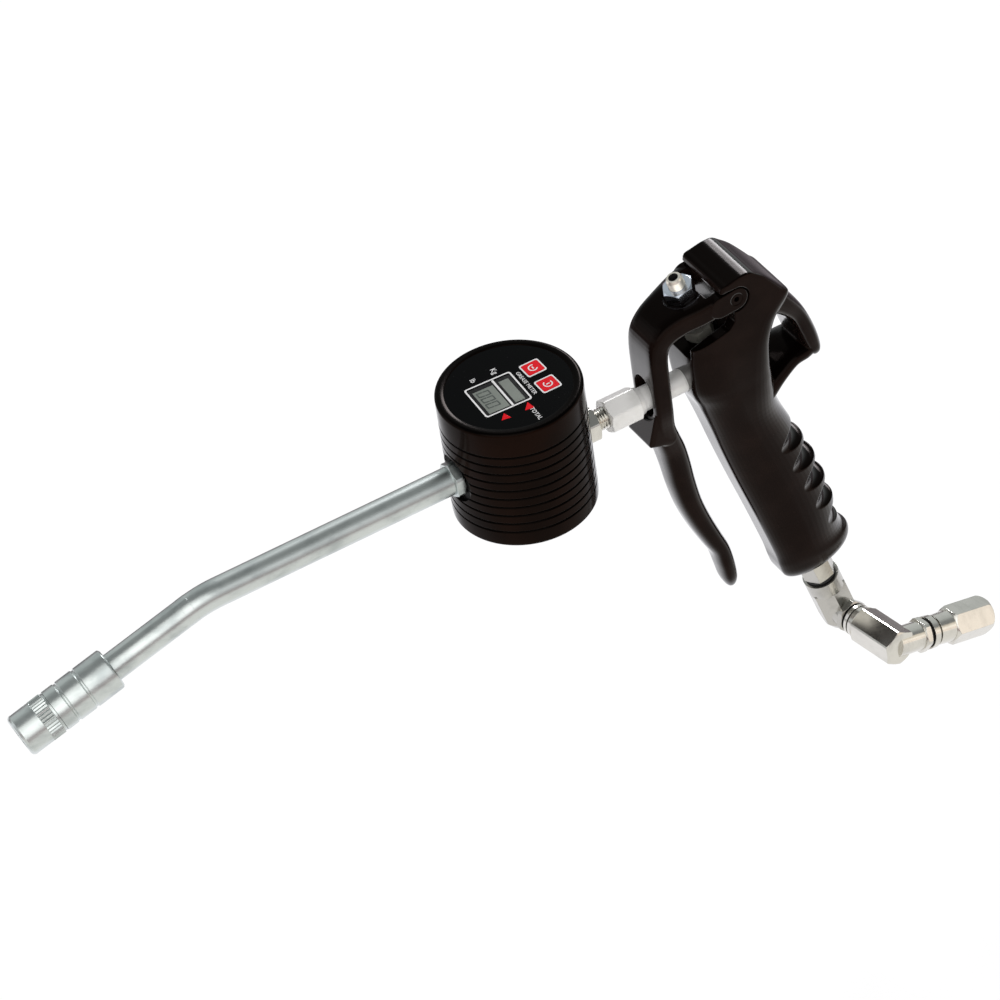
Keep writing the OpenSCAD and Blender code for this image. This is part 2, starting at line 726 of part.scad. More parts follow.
module jaw_4() {
    jaw(270);
}

module coupler_piston() {
    color([0.75, 0.6, 0.3]) nose_frame() difference() {
        union() {
            translate([0, 0, 22.2]) cylinder(r = 4.25, h = 4);
            translate([0, 0, 26.1]) cylinder(r1 = 2.9, r2 = 2.4, h = 6);
        }
        translate([0, 0, 20]) cylinder(r = 1.2, h = 20);
    }
}

module coupler_spring() {
    mean_r = 3.3;
    wire_r = 0.45;
    length = 9;
    turns = 5;
    gap = length / turns - 2 * wire_r;
    echo("coupler spring least gap", gap);
    color([0.6, 0.6, 0.6]) nose_frame() translate([0, 0, 13.1])
        coil(mean_r, wire_r, length, turns);
}

// Swivel inlet

module swivel_stud() {
    color([0.85, 0.84, 0.8]) gun_frame() difference() {
        union() {
            translate([0, 0, -stud_t - 0.2]) thread(4.85, 8.1, 0.9);
            translate([0, 0, -rim_t]) hex_bar(11, rim_t - stud_t - 0.05, 0.8);
            translate([0, 0, -rim_t - 14]) cylinder(r = 3, h = 15);
            translate([0, 0, -rim_t - 11]) cylinder(r = 3.6, h = 1.4);
        }
        translate([0, 0, -rim_t - 20]) cylinder(r = 1.8, h = 60);
    }
}

module seal_1() {
    color([0.03, 0.03, 0.03]) gun_frame() translate([0, 0, -rim_t - 0.75])
        rotate_extrude() translate([5, 0]) circle(r = 0.72, $fn = 24);
}

module elbow_1() {
    base = -rim_t - 1.6;
    color([0.84, 0.84, 0.82]) difference() {
        union() {
            gun_frame() translate([0, 0, base - 6.6]) cylinder(r = 6.7, h = 6.6);
            gun_frame() intersection() {
                translate([0, 0, base - 26]) rotate([0, 0, swivel_a1 + 15]) hex(12.4, 20);
                translate([0, 0, base - 26]) rotate_extrude() polygon([[0, 0], [5, 0], [7.3, 5],
                    [7.3, 20], [0, 20]]);
            }
            arm_frame() cylinder(r = 5.3, h = 7);
            arm_frame() translate([0, 0, 6.9]) hex_bar(11.6, 2.4, 0.6);
        }
        gun_frame() translate([0, 0, -rim_t - 14.6]) cylinder(r = 3.05, h = 20);
        gun_frame() translate([0, 0, -rim_t - 11.6]) cylinder(r = 3.95, h = 2.6);
        gun_frame() translate([0, 0, -rim_t - swivel_l1]) cylinder(r = 1.8, h = 12);
        arm_frame() translate([0, 0, -1]) cylinder(r = 1.8, h = 20);
        arm_frame() translate([0, 0, 2.4]) cylinder(r = 3.05, h = 20);
        arm_frame() translate([0, 0, 3.2]) cylinder(r = 3.95, h = 2.6);
    }
}

module seal_2() {
    color([0.03, 0.03, 0.03]) arm_frame() translate([0, 0, 9.9])
        rotate_extrude() translate([4.9, 0]) circle(r = 0.55, $fn = 24);
}

module ring_2() {
    color([0.86, 0.86, 0.84]) arm_frame() translate([0, 0, 10.5]) ring(6, 3.4, 1.3);
}

module elbow_2() {
    color([0.85, 0.84, 0.81]) difference() {
        union() {
            arm_frame() translate([0, 0, 2.6]) cylinder(r = 3, h = 12);
            arm_frame() translate([0, 0, 3.7]) cylinder(r = 3.6, h = 1.4);
            arm_frame() translate([0, 0, 12.4]) cylinder(r1 = 6, r2 = 6.5, h = 2.2);
            arm_frame() translate([0, 0, 14.5]) rotate([0, 0, 12])
                hex_bar(12.6, swivel_l2 + 4 - 14.5, 0.8);
            end_frame() cylinder(r = 5.4, h = 11.6);
            end_frame() translate([0, 0, 11.5]) hex_bar(11.6, 2.6, 0.6);
        }
        arm_frame() translate([0, 0, -1]) cylinder(r = 1.8, h = swivel_l2 + 2);
        end_frame() translate([0, 0, -1]) cylinder(r = 1.8, h = 20);
        end_frame() translate([0, 0, 6.4]) cylinder(r = 3.05, h = 20);
        end_frame() translate([0, 0, 7.2]) cylinder(r = 3.95, h = 2.6);
    }
}

module seal_3() {
    color([0.03, 0.03, 0.03]) end_frame() {
        translate([0, 0, 14.75]) rotate_extrude() translate([4.9, 0]) circle(r = 0.55, $fn = 24);
    }
}

module ring_3() {
    color([0.86, 0.86, 0.84]) end_frame() translate([0, 0, 15.4]) ring(6.1, 3.4, 2.6);
}

module end_connector() {
    body = swivel_l3 - 26;
    color([0.88, 0.85, 0.8]) end_frame() difference() {
        union() {
            translate([0, 0, 6.6]) cylinder(r = 3, h = 14);
            translate([0, 0, 7.7]) cylinder(r = 3.6, h = 1.4);
            translate([0, 0, 19.2]) cylinder(r1 = 5.6, r2 = 5.9, h = 7);
            translate([0, 0, 26]) intersection() {
                hex(12.6, body);
                rotate_extrude() polygon(concat([[0, 0], [6.1, 0], [7.3, 1.2]],
                    [for (k = [0:6]) [4.4 + 2.9 * cos(15 * k), body - 2.9 + 2.9 * sin(15 * k)]],
                    [[0, body]]));
            }
        }
        translate([0, 0, 2]) cylinder(r = 1.8, h = 60);
        translate([0, 0, swivel_l3 - 12]) cylinder(r = 4.3, h = 20);
    }
}

gun_body();
lever();
lever_pin();
set_screw();
lock_nut();
valve_stem();
valve_ball();
gland_nut();
stem_packing();
valve_cage();
valve_seat();
valve_spring();
outlet_adapter();
inlet_fitting();
inlet_seal();
meter_housing();
face_panel();
lcd_module();
button_1();
button_2();
button_bezels();
circuit_board();
board_screws();
battery();
key_domes();
chamber_block();
gear_a();
gear_b();
gear_axles();
gear_magnets();
base_cover();
base_seal();
base_screws();
outlet_fitting();
delivery_tube();
coupler_body();
coupler_cap();
jaw_1();
jaw_2();
jaw_3();
jaw_4();
coupler_piston();
coupler_spring();
swivel_stud();
seal_1();
elbow_1();
seal_2();
ring_2();
elbow_2();
seal_3();
ring_3();
end_connector();
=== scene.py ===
"""Looks for a grease control gun with a digital meter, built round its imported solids."""

import math

import bmesh
import bpy
from bpy.props import FloatProperty, FloatVectorProperty, IntProperty, PointerProperty
from mathutils import Matrix, Vector


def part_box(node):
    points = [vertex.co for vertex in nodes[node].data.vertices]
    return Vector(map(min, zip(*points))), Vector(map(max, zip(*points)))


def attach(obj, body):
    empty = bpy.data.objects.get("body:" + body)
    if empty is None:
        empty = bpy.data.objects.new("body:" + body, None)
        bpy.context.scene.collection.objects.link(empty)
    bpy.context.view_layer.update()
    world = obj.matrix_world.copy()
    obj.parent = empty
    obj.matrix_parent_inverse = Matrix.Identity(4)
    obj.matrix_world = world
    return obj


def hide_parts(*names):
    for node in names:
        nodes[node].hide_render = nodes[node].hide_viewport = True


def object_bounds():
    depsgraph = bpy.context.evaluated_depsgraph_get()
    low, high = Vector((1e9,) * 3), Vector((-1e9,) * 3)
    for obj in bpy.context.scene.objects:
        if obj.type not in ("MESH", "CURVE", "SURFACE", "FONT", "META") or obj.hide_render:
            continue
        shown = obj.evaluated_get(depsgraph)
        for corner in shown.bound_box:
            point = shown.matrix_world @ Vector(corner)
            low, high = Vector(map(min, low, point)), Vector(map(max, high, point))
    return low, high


bl_info = {
    "name": "Grease Control Gun",
    "version": (1, 0, 0),
    "blender": (4, 5, 0),
    "location": "View3D > Sidebar > Grease Gun",
    "description": "Casting, meter, delivery line and swivel of a grease control gun",
    "category": "Object",
}

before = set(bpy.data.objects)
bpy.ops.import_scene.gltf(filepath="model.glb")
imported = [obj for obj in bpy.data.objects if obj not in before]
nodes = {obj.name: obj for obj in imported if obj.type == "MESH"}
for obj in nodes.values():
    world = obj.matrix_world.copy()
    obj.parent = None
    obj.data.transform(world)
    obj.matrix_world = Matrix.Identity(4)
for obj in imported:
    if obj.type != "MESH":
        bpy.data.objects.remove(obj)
cad_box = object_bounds()
MM = 0.001
UP = (0, 0, 1)

# A quarter turn in twelve steps
QUARTER = [math.radians(7.5 * k) for k in range(13)]

# The gun's valve, grip passage and swivel stud share one leaning axis
LEAN = math.radians(15.5)
VALVE_TOP = Vector((73.65, 0, 34.2))
GUN = Matrix.Translation(VALVE_TOP) @ Matrix.Rotation(-LEAN, 4, "Y")
PIVOT = Vector((82.5, 0, 51.4))

# The meter's ports, face and housing in millimetres, and the display's turn in degrees
ROD_Z = 17.4
TUBE_Z = 21.9
FACE_TOP = 48.72
GLASS_TOP = 48.5
FACE_TURN = -3
METER_R = 25.0
METER_H = 49.0
GROOVES = 10
FIRST_GROOVE = 6.3
TOP_BAND = 10.1
RIM_R = 1.3
PORT_R = 4.82

# The swivel can hang this far below the rest pose, in metres
SWIVEL_DROP = 0.07

# Where the lamps point, in metres
LAMP_AIM = Vector((0.02, 0, 0))

# The photograph's width and fitted centre in pixels
PHOTO = 1000
PHOTO_CENTRE = (525.551, 496.722)

# The camera's turn, rise and roll in degrees, distance in metres and sensor in millimetres
CAMERA_ANGLES = (-24.60678, 40.92692, -9.05498)
CAMERA_FAR = 1.688756
SENSOR = 36


class Value:
    """A shader socket whose operators, with their reflected forms, add Math nodes."""

    def __init__(self, finish, socket):
        self.finish = finish
        self.socket = socket

    def math(self, operation, a, b):
        return self.finish.node("ShaderNodeMath", {"operation": operation}, {0: a, 1: b})

    def __add__(self, other):
        return self.math("ADD", self, other)

    __radd__ = __add__

    def __mul__(self, other):
        return self.math("MULTIPLY", self, other)

    __rmul__ = __mul__

    def __sub__(self, other):
        return self.math("SUBTRACT", self, other)

    def __rsub__(self, other):
        return self.math("SUBTRACT", other, self)

    def __truediv__(self, other):
        return self.math("DIVIDE", self, other)

    def __rtruediv__(self, other):
        return self.math("DIVIDE", other, self)


class Finish:
    """One node tree: node() makes any node, and Values built from it do the sums."""

    def __init__(self, owner, tree):
        self.owner = owner
        self.tree = tree
        self.tree.nodes.clear()

    def node(self, kind, settings=None, inputs=None, out=0):
        """Any node: its settings first, then the values or links of its sockets."""
        made = self.tree.nodes.new(kind)
        for key, value in (settings or {}).items():
            if key == "stops":
                self.stops(made.color_ramp, value)
            else:
                setattr(made, key, value)
        for key, value in (inputs or {}).items():
            if isinstance(value, Value):
                self.tree.links.new(value.socket, made.inputs[key])
            elif value is not None:
                made.inputs[key].default_value = value
        return Value(self, made.outputs[out]) if made.outputs else made

    def stops(self, ramp, stops):
        """Set a colour ramp's stops, each a place and a colour."""
        while len(ramp.elements) < len(stops):
            ramp.elements.new(0.5)
        for element, (place, colour) in zip(ramp.elements, stops):
            element.position = place
            element.color = (*colour, 1)

    def place(self, stretch=(1, 1, 1)):
        """The piece's own coordinates in metres, stretched."""
        own = self.node("ShaderNodeTexCoord", out="Object")
        return self.node("ShaderNodeVectorMath", {"operation": "MULTIPLY"}, {0: own, 1: stretch})

    def noise(self, scale, stretch=(1, 1, 1), detail=3.0, rough=0.55):
        """Noise over the piece's own coordinates, around 0.5."""
        inputs = {"Vector": self.place(stretch), "Scale": scale, "Detail": detail, "Roughness": rough}
        return self.node("ShaderNodeTexNoise", {}, inputs)

    def ramp(self, value, low, high):
        """0 below one value and 1 above another, with a smooth step between."""
        settings = {"interpolation_type": "SMOOTHSTEP"}
        return self.node("ShaderNodeMapRange", settings, {0: value, 1: low, 2: high, 3: 0.0, 4: 1.0})

    def mix(self, factor, a, b):
        a = a if isinstance(a, Value) else (*a, 1)
        b = b if isinstance(b, Value) else (*b, 1)
        return self.node("ShaderNodeMix", {"data_type": "RGBA"}, {0: factor, 6: a, 7: b}, out=2)

    def dot(self, a, b):
        return self.node("ShaderNodeVectorMath", {"operation": "DOT_PRODUCT"}, {0: a, 1: b}, out="Value")

    def length(self, a):
        return self.node("ShaderNodeVectorMath", {"operation": "LENGTH"}, {0: a}, out="Value")

    def ray(self, kind):
        """1 for rays of one kind, such as Camera or Glossy, and 0 for others."""
        return self.node("ShaderNodeLightPath", out="Is %s Ray" % kind)

    def upward(self):
        """How far the surface faces up, from -1 to 1."""
        return self.dot(self.node("ShaderNodeNewGeometry", out="Normal"), UP)

    def facing(self):
        """Nearly 0 for a surface seen square on, and 1 for one seen edge on."""
        return self.node("ShaderNodeLayerWeight", out="Facing")

    def rounded(self, radius):
        """The normal with every edge rounded by a radius in metres."""
        return self.node("ShaderNodeBevel", {"samples": 4}, {"Radius": radius})

    def bump(self, height, depth, normal=None):
        inputs = {"Strength": 1.0, "Distance": depth, "Height": height, "Normal": normal}
        return self.node("ShaderNodeBump", {}, inputs)

    def surface(self, **sockets):
        """Close the tree with a Principled shader; socket names use _ for a space."""
        inputs = {key.replace("_", " "): value for key, value in sockets.items()}
        shader = self.node("ShaderNodeBsdfPrincipled", {}, inputs)
        self.node("ShaderNodeOutputMaterial", {}, {"Surface": shader})
        return self.owner


def new_finish(name):
    """An empty material, ready for its nodes."""
    material = bpy.data.materials.new(name)
    material.use_nodes = True
    return Finish(material, material.node_tree)


# Finishes

def casting_paint(looks):
    """Brown-black gloss paint: painted shade makes it darker on faces that point up, with a fine orange
    peel and a clear gloss at low angles.
    """
    f = new_finish("casting_paint")
    peel = f.noise(620, detail=2)
    cloud = f.noise(60, detail=4)
    base = tuple(looks.paint_colour)
    warm = tuple(1.5 * c for c in base)
    # Painted shade: faces that point up darken to this near-black copy of the paint.
    painted_shade = tuple(0.22 * c for c in base)
    side = f.mix(f.ramp(cloud, 0.38, 0.68), base, warm)
    colour = f.mix(f.ramp(f.upward(), 0.35, 0.8), side, painted_shade)
    rough = looks.paint_roughness + (cloud - 0.5) * 0.08 + (peel - 0.5) * 0.05
    normal = f.bump(peel, 0.000012)
    return f.surface(Base_Color=colour, Roughness=rough, Normal=normal, Specular_IOR_Level=0.04,
                     Specular_Tint=(1.0, 0.78, 0.7, 1), Coat_Weight=f.ramp(f.facing(), 0.32, 0.6),
                     Coat_Roughness=0.19)


def turned_paint(looks):
    """Dark anodised finish with the fine rings that turning leaves, and painted shade in the grooves and
    on faces that point up.
    """
    f = new_finish("turned_paint")
    rings = f.noise(900, (0.02, 0.02, 1.6), detail=2)
    cloud = f.noise(45, detail=3)
    base = tuple(looks.meter_colour)
    warm = (base[0] * 2.0, base[1] * 1.6, base[2] * 1.35)
    out = f.length(f.place((1, 1, 0)))
    low = f.dot(f.place(), UP)
    # Painted shade: inside the groove depth, below the top band, the colour goes near black and the
    # surface rougher.
    groove_shade = (1.0 - f.ramp(out, 0.0245, 0.0249)) * (1.0 - f.ramp(low, 0.040, 0.0405))
    skin = f.mix(f.ramp(cloud, 0.35, 0.7), base, warm)
    # Painted shade: faces that point up go near black as well.
    dark = f.ramp(f.upward(), 0.3, 0.8)
    colour = f.mix(1.0 - (1.0 - groove_shade) * (1.0 - dark), skin, (0.0006, 0.0005, 0.0005))
    rough = 0.15 + (rings - 0.5) * 0.1 + (cloud - 0.5) * 0.06 + groove_shade * 0.6
    normal = f.bump(rings, 0.000012, f.rounded(0.00025))
    return f.surface(Base_Color=colour, Roughness=rough, Normal=normal, Specular_IOR_Level=0.04,
                     Specular_Tint=(1.0, 0.72, 0.6, 1), Coat_Weight=f.ramp(f.facing(), 0.6, 1.0) * 0.6,
                     Coat_Roughness=0.12)


def drawn_zinc(looks):
    """Zinc plate on drawn tube: soft streaks along the tube and a faint cloudy bloom."""
    f = new_finish("drawn_zinc")
    streak = f.noise(420, (0.05, 1, 1), detail=4)
    bloom = f.noise(130, (0.5, 1, 1), detail=5, rough=0.6)
    base = tuple(looks.zinc_colour)
    dull = (base[0] * 0.62, base[1] * 0.64, base[2] * 0.65)
    colour = f.mix(f.ramp(bloom, 0.42, 0.72) * 0.8, base, dull)
    rough = 0.2 + streak * 0.12 + bloom * 0.1
    normal = f.bump(streak, 0.00002, f.rounded(0.0002))
    return f.surface(Base_Color=colour, Metallic=1.0, Roughness=rough, Normal=normal)


def plated(name, colour, roughness, grain):
    """Bright plate over a turned or milled face."""
    f = new_finish(name)
    fine = f.noise(700, detail=3)
    smear = f.noise(160, (1, 0.4, 0.6), detail=4)
    dull = tuple(0.72 * c for c in colour)
    tint = f.mix(f.ramp(smear, 0.45, 0.75) * 0.6, colour, dull)
    rough = roughness + (smear - 0.5) * grain
    normal = f.bump(fine, 0.000008, f.rounded(0.00022))
    return f.surface(Base_Color=tint, Metallic=1.0, Roughness=rough, Normal=normal)


def satin_plate(name, pale, film_colour):
    """Pale satin plate with turning marks and a thin grey film in patches."""
    f = new_finish(name)
    fine = f.noise(700, (3, 0.4, 0.4), detail=3)
    film = f.noise(190, detail=4)
    colour = f.mix(f.ramp(film, 0.5, 0.8) * 0.5, pale, film_colour)
    rough = 0.34 + (fine - 0.5) * 0.15
    normal = f.bump(fine, 0.000006, f.rounded(0.0002))
    return f.surface(Base_Color=colour, Metallic=film * 0.3, Roughness=rough, Normal=normal)


def socket_zinc():
    """Warm zinc plate on the adjusting screw, with painted shade down its hexagon socket."""
    f = new_finish("socket_zinc")
    top = VALVE_TOP * MM
    run = GUN.to_3x3() @ Vector(UP)
    arm = f.node("ShaderNodeVectorMath", {"operation": "SUBTRACT"}, {0: f.place(), 1: top})
    side = f.node("ShaderNodeVectorMath", {"operation": "CROSS_PRODUCT"}, {0: arm, 1: run})
    out = f.length(side)
    # Painted shade: inside the hexagon socket the colour goes near black, matte and not metal.
    painted_shade = 1.0 - f.ramp(out, 0.00172, 0.0018)
    smear = f.noise(160, detail=4)
    tint = f.mix(f.ramp(smear, 0.45, 0.75) * 0.5, (0.84, 0.79, 0.70), (0.62, 0.58, 0.50))
    colour = f.mix(painted_shade, tint, (0.012, 0.011, 0.010))
    rough = 0.3 + (smear - 0.5) * 0.12 + painted_shade * 0.4
    return f.surface(Base_Color=colour, Metallic=1.0 - painted_shade, Roughness=rough, Normal=f.rounded(0.00012))


def moulded(name, colour, roughness, specular):
    """Moulded plastic or rubber with a fine skin."""
    f = new_finish(name)
    skin = f.noise(900, detail=2)
    cloud = f.noise(90, detail=3)
    dark = tuple(0.82 * c for c in colour)
    tint = f.mix(cloud, dark, colour)
    rough = roughness + (skin - 0.5) * 0.08
    normal = f.bump(skin, 0.00001, f.rounded(0.00012))
    return f.surface(Base_Color=tint, Roughness=rough, Normal=normal, Specular_IOR_Level=specular)


def face_gloss(looks):
    """Gloss black face sheet with the faintest dust."""
    f = new_finish("face_gloss")
    dust = f.ramp(f.noise(1500, detail=1), 0.72, 0.8)
    colour = f.mix(dust * 0.25, tuple(looks.face_colour), (0.03, 0.03, 0.03))
    rough = 0.1 + dust * 0.2
    normal = f.bump(f.noise(240, detail=1), 0.000004)
    return f.surface(Base_Color=colour, Roughness=rough, Normal=normal, Specular_IOR_Level=0.04)


def display_glass(looks):
    """Grey-green reflective display with its fine cell grid."""
    f = new_finish("display_glass")
    grid = f.noise(2600, (1, 1, 0), detail=0)
    shade = f.noise(110, detail=2)
    base = tuple(looks.display_colour)
    low = tuple(0.8 * c for c in base)
    colour = f.mix(f.ramp(shade, 0.35, 0.65) * 0.7 + grid * 0.15, low, base)
    return f.surface(Base_Color=colour, Roughness=0.3 + grid * 0.08, Specular_IOR_Level=0.35)


def board_mask():
    """Green solder mask with paler traces under it."""
    f = new_finish("board_mask")
    trace = f.ramp(f.noise(350, (1, 0.25, 1), detail=1), 0.52, 0.56)
    colour = f.mix(trace, (0.02, 0.12, 0.05), (0.05, 0.22, 0.09))
    return f.surface(Base_Color=colour, Roughness=0.35 + trace * 0.1, Specular_IOR_Level=0.5)


# Mesh makers; points are in millimetres and the made object is in metres

def make(name, bm):
    """An object from a bmesh in millimetres, with its faces turned outwards."""
    bmesh.ops.recalc_face_normals(bm, faces=bm.faces)
    bmesh.ops.scale(bm, vec=(MM, MM, MM), verts=bm.verts)
    mesh = bpy.data.meshes.new(name)
    bm.to_mesh(mesh)
    bm.free()
    obj = bpy.data.objects.new(name, mesh)
    bpy.context.scene.collection.objects.link(obj)
    return obj


def spline_rows(rows, steps):
    """Rows with a smooth curve through every column."""
    out = []
    last = len(rows) - 1
    for i in range(last):
        picks = [rows[max(0, min(last, i + k))] for k in (-1, 0, 1, 2)]
        for j in range(steps):
            u = j / steps
            out.append([
                0.5 * (2 * b + (c - a) * u + (2 * a - 5 * b + 4 * c - d) * u * u
                       + (3 * b - a - 3 * c + d) * u ** 3)
                for a, b, c, d in zip(*picks)
            ])
    out.append(list(rows[-1]))
    return out


def power(value, exponent):
    """A power that keeps the value's sign."""
    return math.copysign(abs(value) ** exponent, value)


def casting_ring(row):
    """One level of the casting: narrow flat front, widest in the middle, rounded back."""
    z, front, back, wide, flat, nf, nb, lean = row
    widest, back_steps = 0.45, 14
    middle = front + widest * (back - front)
    half = []
    for a in QUARTER:
        x = middle - (middle - front) * power(math.cos(a), 2 / nf)
        half.append((x, flat + (wide - flat) * power(math.sin(a), 2 / nf)))
    for k in range(1, back_steps + 1):
        a = math.pi / 2 * k / back_steps
        half.append((middle + (back - middle) * power(math.sin(a), 2 / nb),
                     wide * power(math.cos(a), 2 / nb)))
    near = [(x, -y, z + lean * (x - middle)) for x, y in half]
    far = [(x, y, z + lean * (x - middle)) for x, y in half[-2::-1]]
    return near + far


def bar_rings(rows, sides=40):
    """Rounded cross-sections along a path in the XZ plane."""
    rings = []
    for i, (x, z, thick, wide, n) in enumerate(rows):
        ahead = rows[min(len(rows) - 1, i + 1)]
        behind = rows[max(0, i - 1)]
        run = Vector((ahead[0] - behind[0], ahead[1] - behind[1])).normalized()
        ring = []
        for k in range(sides):
            a = -2 * math.pi * k / sides
            u = thick / 2 * power(math.cos(a), 2 / n)
            v = wide / 2 * power(math.sin(a), 2 / n)
            ring.append((x - run.y * u, v, z + run.x * u))
        rings.append(ring)
    return rings


def band(bm, one, two):
    """Four-sided faces between two rings of equal length."""
    count = len(one)
    for j in range(count):
        k = (j + 1) % count
        bm.faces.new((one[j], one[k], two[k], two[j]))


def solid(bm, rings):
    """A closed surface over rings of equal length, with both ends filled."""
    rows = [[bm.verts.new(p) for p in ring] for ring in rings]
    for low, high in zip(rows, rows[1:]):
        band(bm, low, high)
    bm.faces.new(rows[0])
    bm.faces.new(rows[-1])


def skin(name, rings):
    """An object with one closed surface over rings of equal length."""
    bm = bmesh.new()
    solid(bm, rings)
    return make(name, bm)


def lathe(name, profile, matrix, steps, start=0.0, end=360.0):
    """A profile of (radius, height) turned about a matrix's Z axis."""
    bm = bmesh.new()
    full = end - start >= 360
    turns = steps if full else steps + 1
    rings = []
    for i in range(turns):
        a = math.radians(start + (end - start) * i / steps)
        points = [matrix @ Vector((r * math.cos(a), r * math.sin(a), h)) for r, h in profile]
        rings.append([bm.verts.new(p) for p in points])
    for i in range(steps):
        band(bm, rings[i], rings[(i + 1) % turns])
    if not full:
        bm.faces.new(rings[0])
        bm.faces.new(rings[-1])
    bmesh.ops.remove_doubles(bm, verts=bm.verts, dist=1e-5)
    return make(name, bm)


def rod(name, a, b, radius, sides=48):
    """A round bar between two points."""
    a = Vector(a)
    b = Vector(b)
    spin = (b - a).to_track_quat("Z", "Y").to_matrix().to_4x4()
    matrix = Matrix.Translation(a) @ spin
    profile = [(0, 0), (radius, 0), (radius, (b - a).length), (0, (b - a).length)]
    return lathe(name, profile, matrix, sides)


def prism(name, outline, low, high):
    """An XZ outline run from one Y to another."""
    return skin(name, [[(x, y, z) for x, z in outline] for y in (low, high)])


def hull(name, points):
    """The tight skin round some points."""
    bm = bmesh.new()
    for p in points:
        bm.verts.new(p)
    bmesh.ops.convex_hull(bm, input=bm.verts)
    loose = [v for v in bm.verts if not v.link_faces]
    bmesh.ops.delete(bm, geom=loose, context="VERTS")
    return make(name, bm)


def disc_points(centre, radius, low, high, axis="Y", count=28):
    """The rims of a disc that lies across Y or along X."""
    points = []
    for k in range(count):
        a = 2 * math.pi * k / count
        u = radius * math.cos(a)
        v = radius * math.sin(a)
        for w in (low, high):
            if axis == "Y":
                points.append((centre[0] + u, w, centre[1] + v))
            else:
                points.append((w, centre[0] + u, centre[1] + v))
    return points


def settle(obj):
    """Replace an object's mesh by what its modifiers give."""
    graph = bpy.context.evaluated_depsgraph_get()
    mesh = bpy.data.meshes.new_from_object(obj.evaluated_get(graph))
    obj.modifiers.clear()
    old = obj.data
    obj.data = mesh
    bpy.data.meshes.remove(old)


def combine(obj, others, operation):
    """Join other objects to this one, or cut them out of it, and drop them."""
    for other in others:
        step = obj.modifiers.new("step", "BOOLEAN")
        step.operation = operation
        step.solver = "EXACT"
        step.object = other
        settle(obj)
        bpy.data.objects.remove(other)
    if not obj.data.polygons:
        raise RuntimeError(obj.name + " came out empty")


def soften(obj, voxel, passes):
    """Melt an object's edges as a die casting's are."""
    melt = obj.modifiers.new("melt", "REMESH")
    melt.mode = "VOXEL"
    melt.voxel_size = voxel
    melt.use_smooth_shade = True
    ease = obj.modifiers.new("ease", "SMOOTH")
    ease.factor = 0.5
    ease.iterations = passes
    settle(obj)
    obj.data.shade_smooth()


def smooth_by_angle(obj, degrees):
    """Shade an object smooth, apart from edges sharper than an angle."""
    obj.data.shade_smooth()
    obj.data.set_sharp_from_angle(angle=math.radians(degrees))


def paint(obj, material, body, replaced=()):
    """Finish a made piece and hang it on its body."""
    obj.data.materials.clear()
    obj.data.materials.append(material)
    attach(obj, body)
    if replaced:
        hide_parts(*replaced)


def dress(names, material):
    """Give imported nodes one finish."""
    for name in names:
        obj = nodes[name]
        if not obj.material_slots:
            obj.data.materials.append(material)
        for place in obj.material_slots:
            place.material = material


def flat_piece(name, outlines, low, high):
    """Raised print: each outline of XY points is a plate from one height to another."""
    bm = bmesh.new()
    for outline in outlines:
        solid(bm, [[(x, y, z) for x, y in outline] for z in (low, high)])
    return make(name, bm)


def round_box(cx, cy, w, h, r, turn=0.0, corner=6):
    """A rounded rectangle's outline."""
    points = []
    for qx, qy, start in ((1, 1, 0), (-1, 1, 90), (-1, -1, 180), (1, -1, 270)):
        for k in range(corner + 1):
            a = math.radians(start + 90 * k / corner)
            points.append((qx * (w / 2 - r) + r * math.cos(a), qy * (h / 2 - r) + r * math.sin(a)))
    c = math.cos(math.radians(turn))
    s = math.sin(math.radians(turn))
    return [(cx + c * x - s * y, cy + s * x + c * y) for x, y in points]


def frame_piece(name, outer, inner, low, high):
    """A printed border between two outlines of equal length."""
    bm = bmesh.new()
    loops = [[bm.verts.new((x, y, z)) for x, y in line]
             for line, z in ((outer, low), (outer, high), (inner, high), (inner, low))]
    for one, two in zip(loops, loops[1:] + loops[:1]):
        band(bm, one, two)
    return make(name, bm)


def lettering(name, words, size, centre, low, high):
    """Raised letters, a little swollen, that read along -Y and turn with the display."""
    curve = bpy.data.curves.new(name, "FONT")
    curve.body = words
    curve.size = size
    curve.align_x = "CENTER"
    curve.align_y = "CENTER"
    curve.resolution_u = 3
    curve.extrude = high / 2
    curve.offset = 0.02
    holder = bpy.data.objects.new(name, curve)
    mesh = bpy.data.meshes.new_from_object(holder)
    bpy.data.objects.remove(holder)
    bpy.data.curves.remove(curve)
    turn = Matrix.Rotation(math.radians(FACE_TURN - 90), 4, "Z")
    place = Matrix.Translation((centre[0], centre[1], low + high / 2))
    mesh.transform(Matrix.Scale(MM, 4) @ place @ turn)
    obj = bpy.data.objects.new(name, mesh)
    bpy.context.scene.collection.objects.link(obj)
    return obj


# Settings

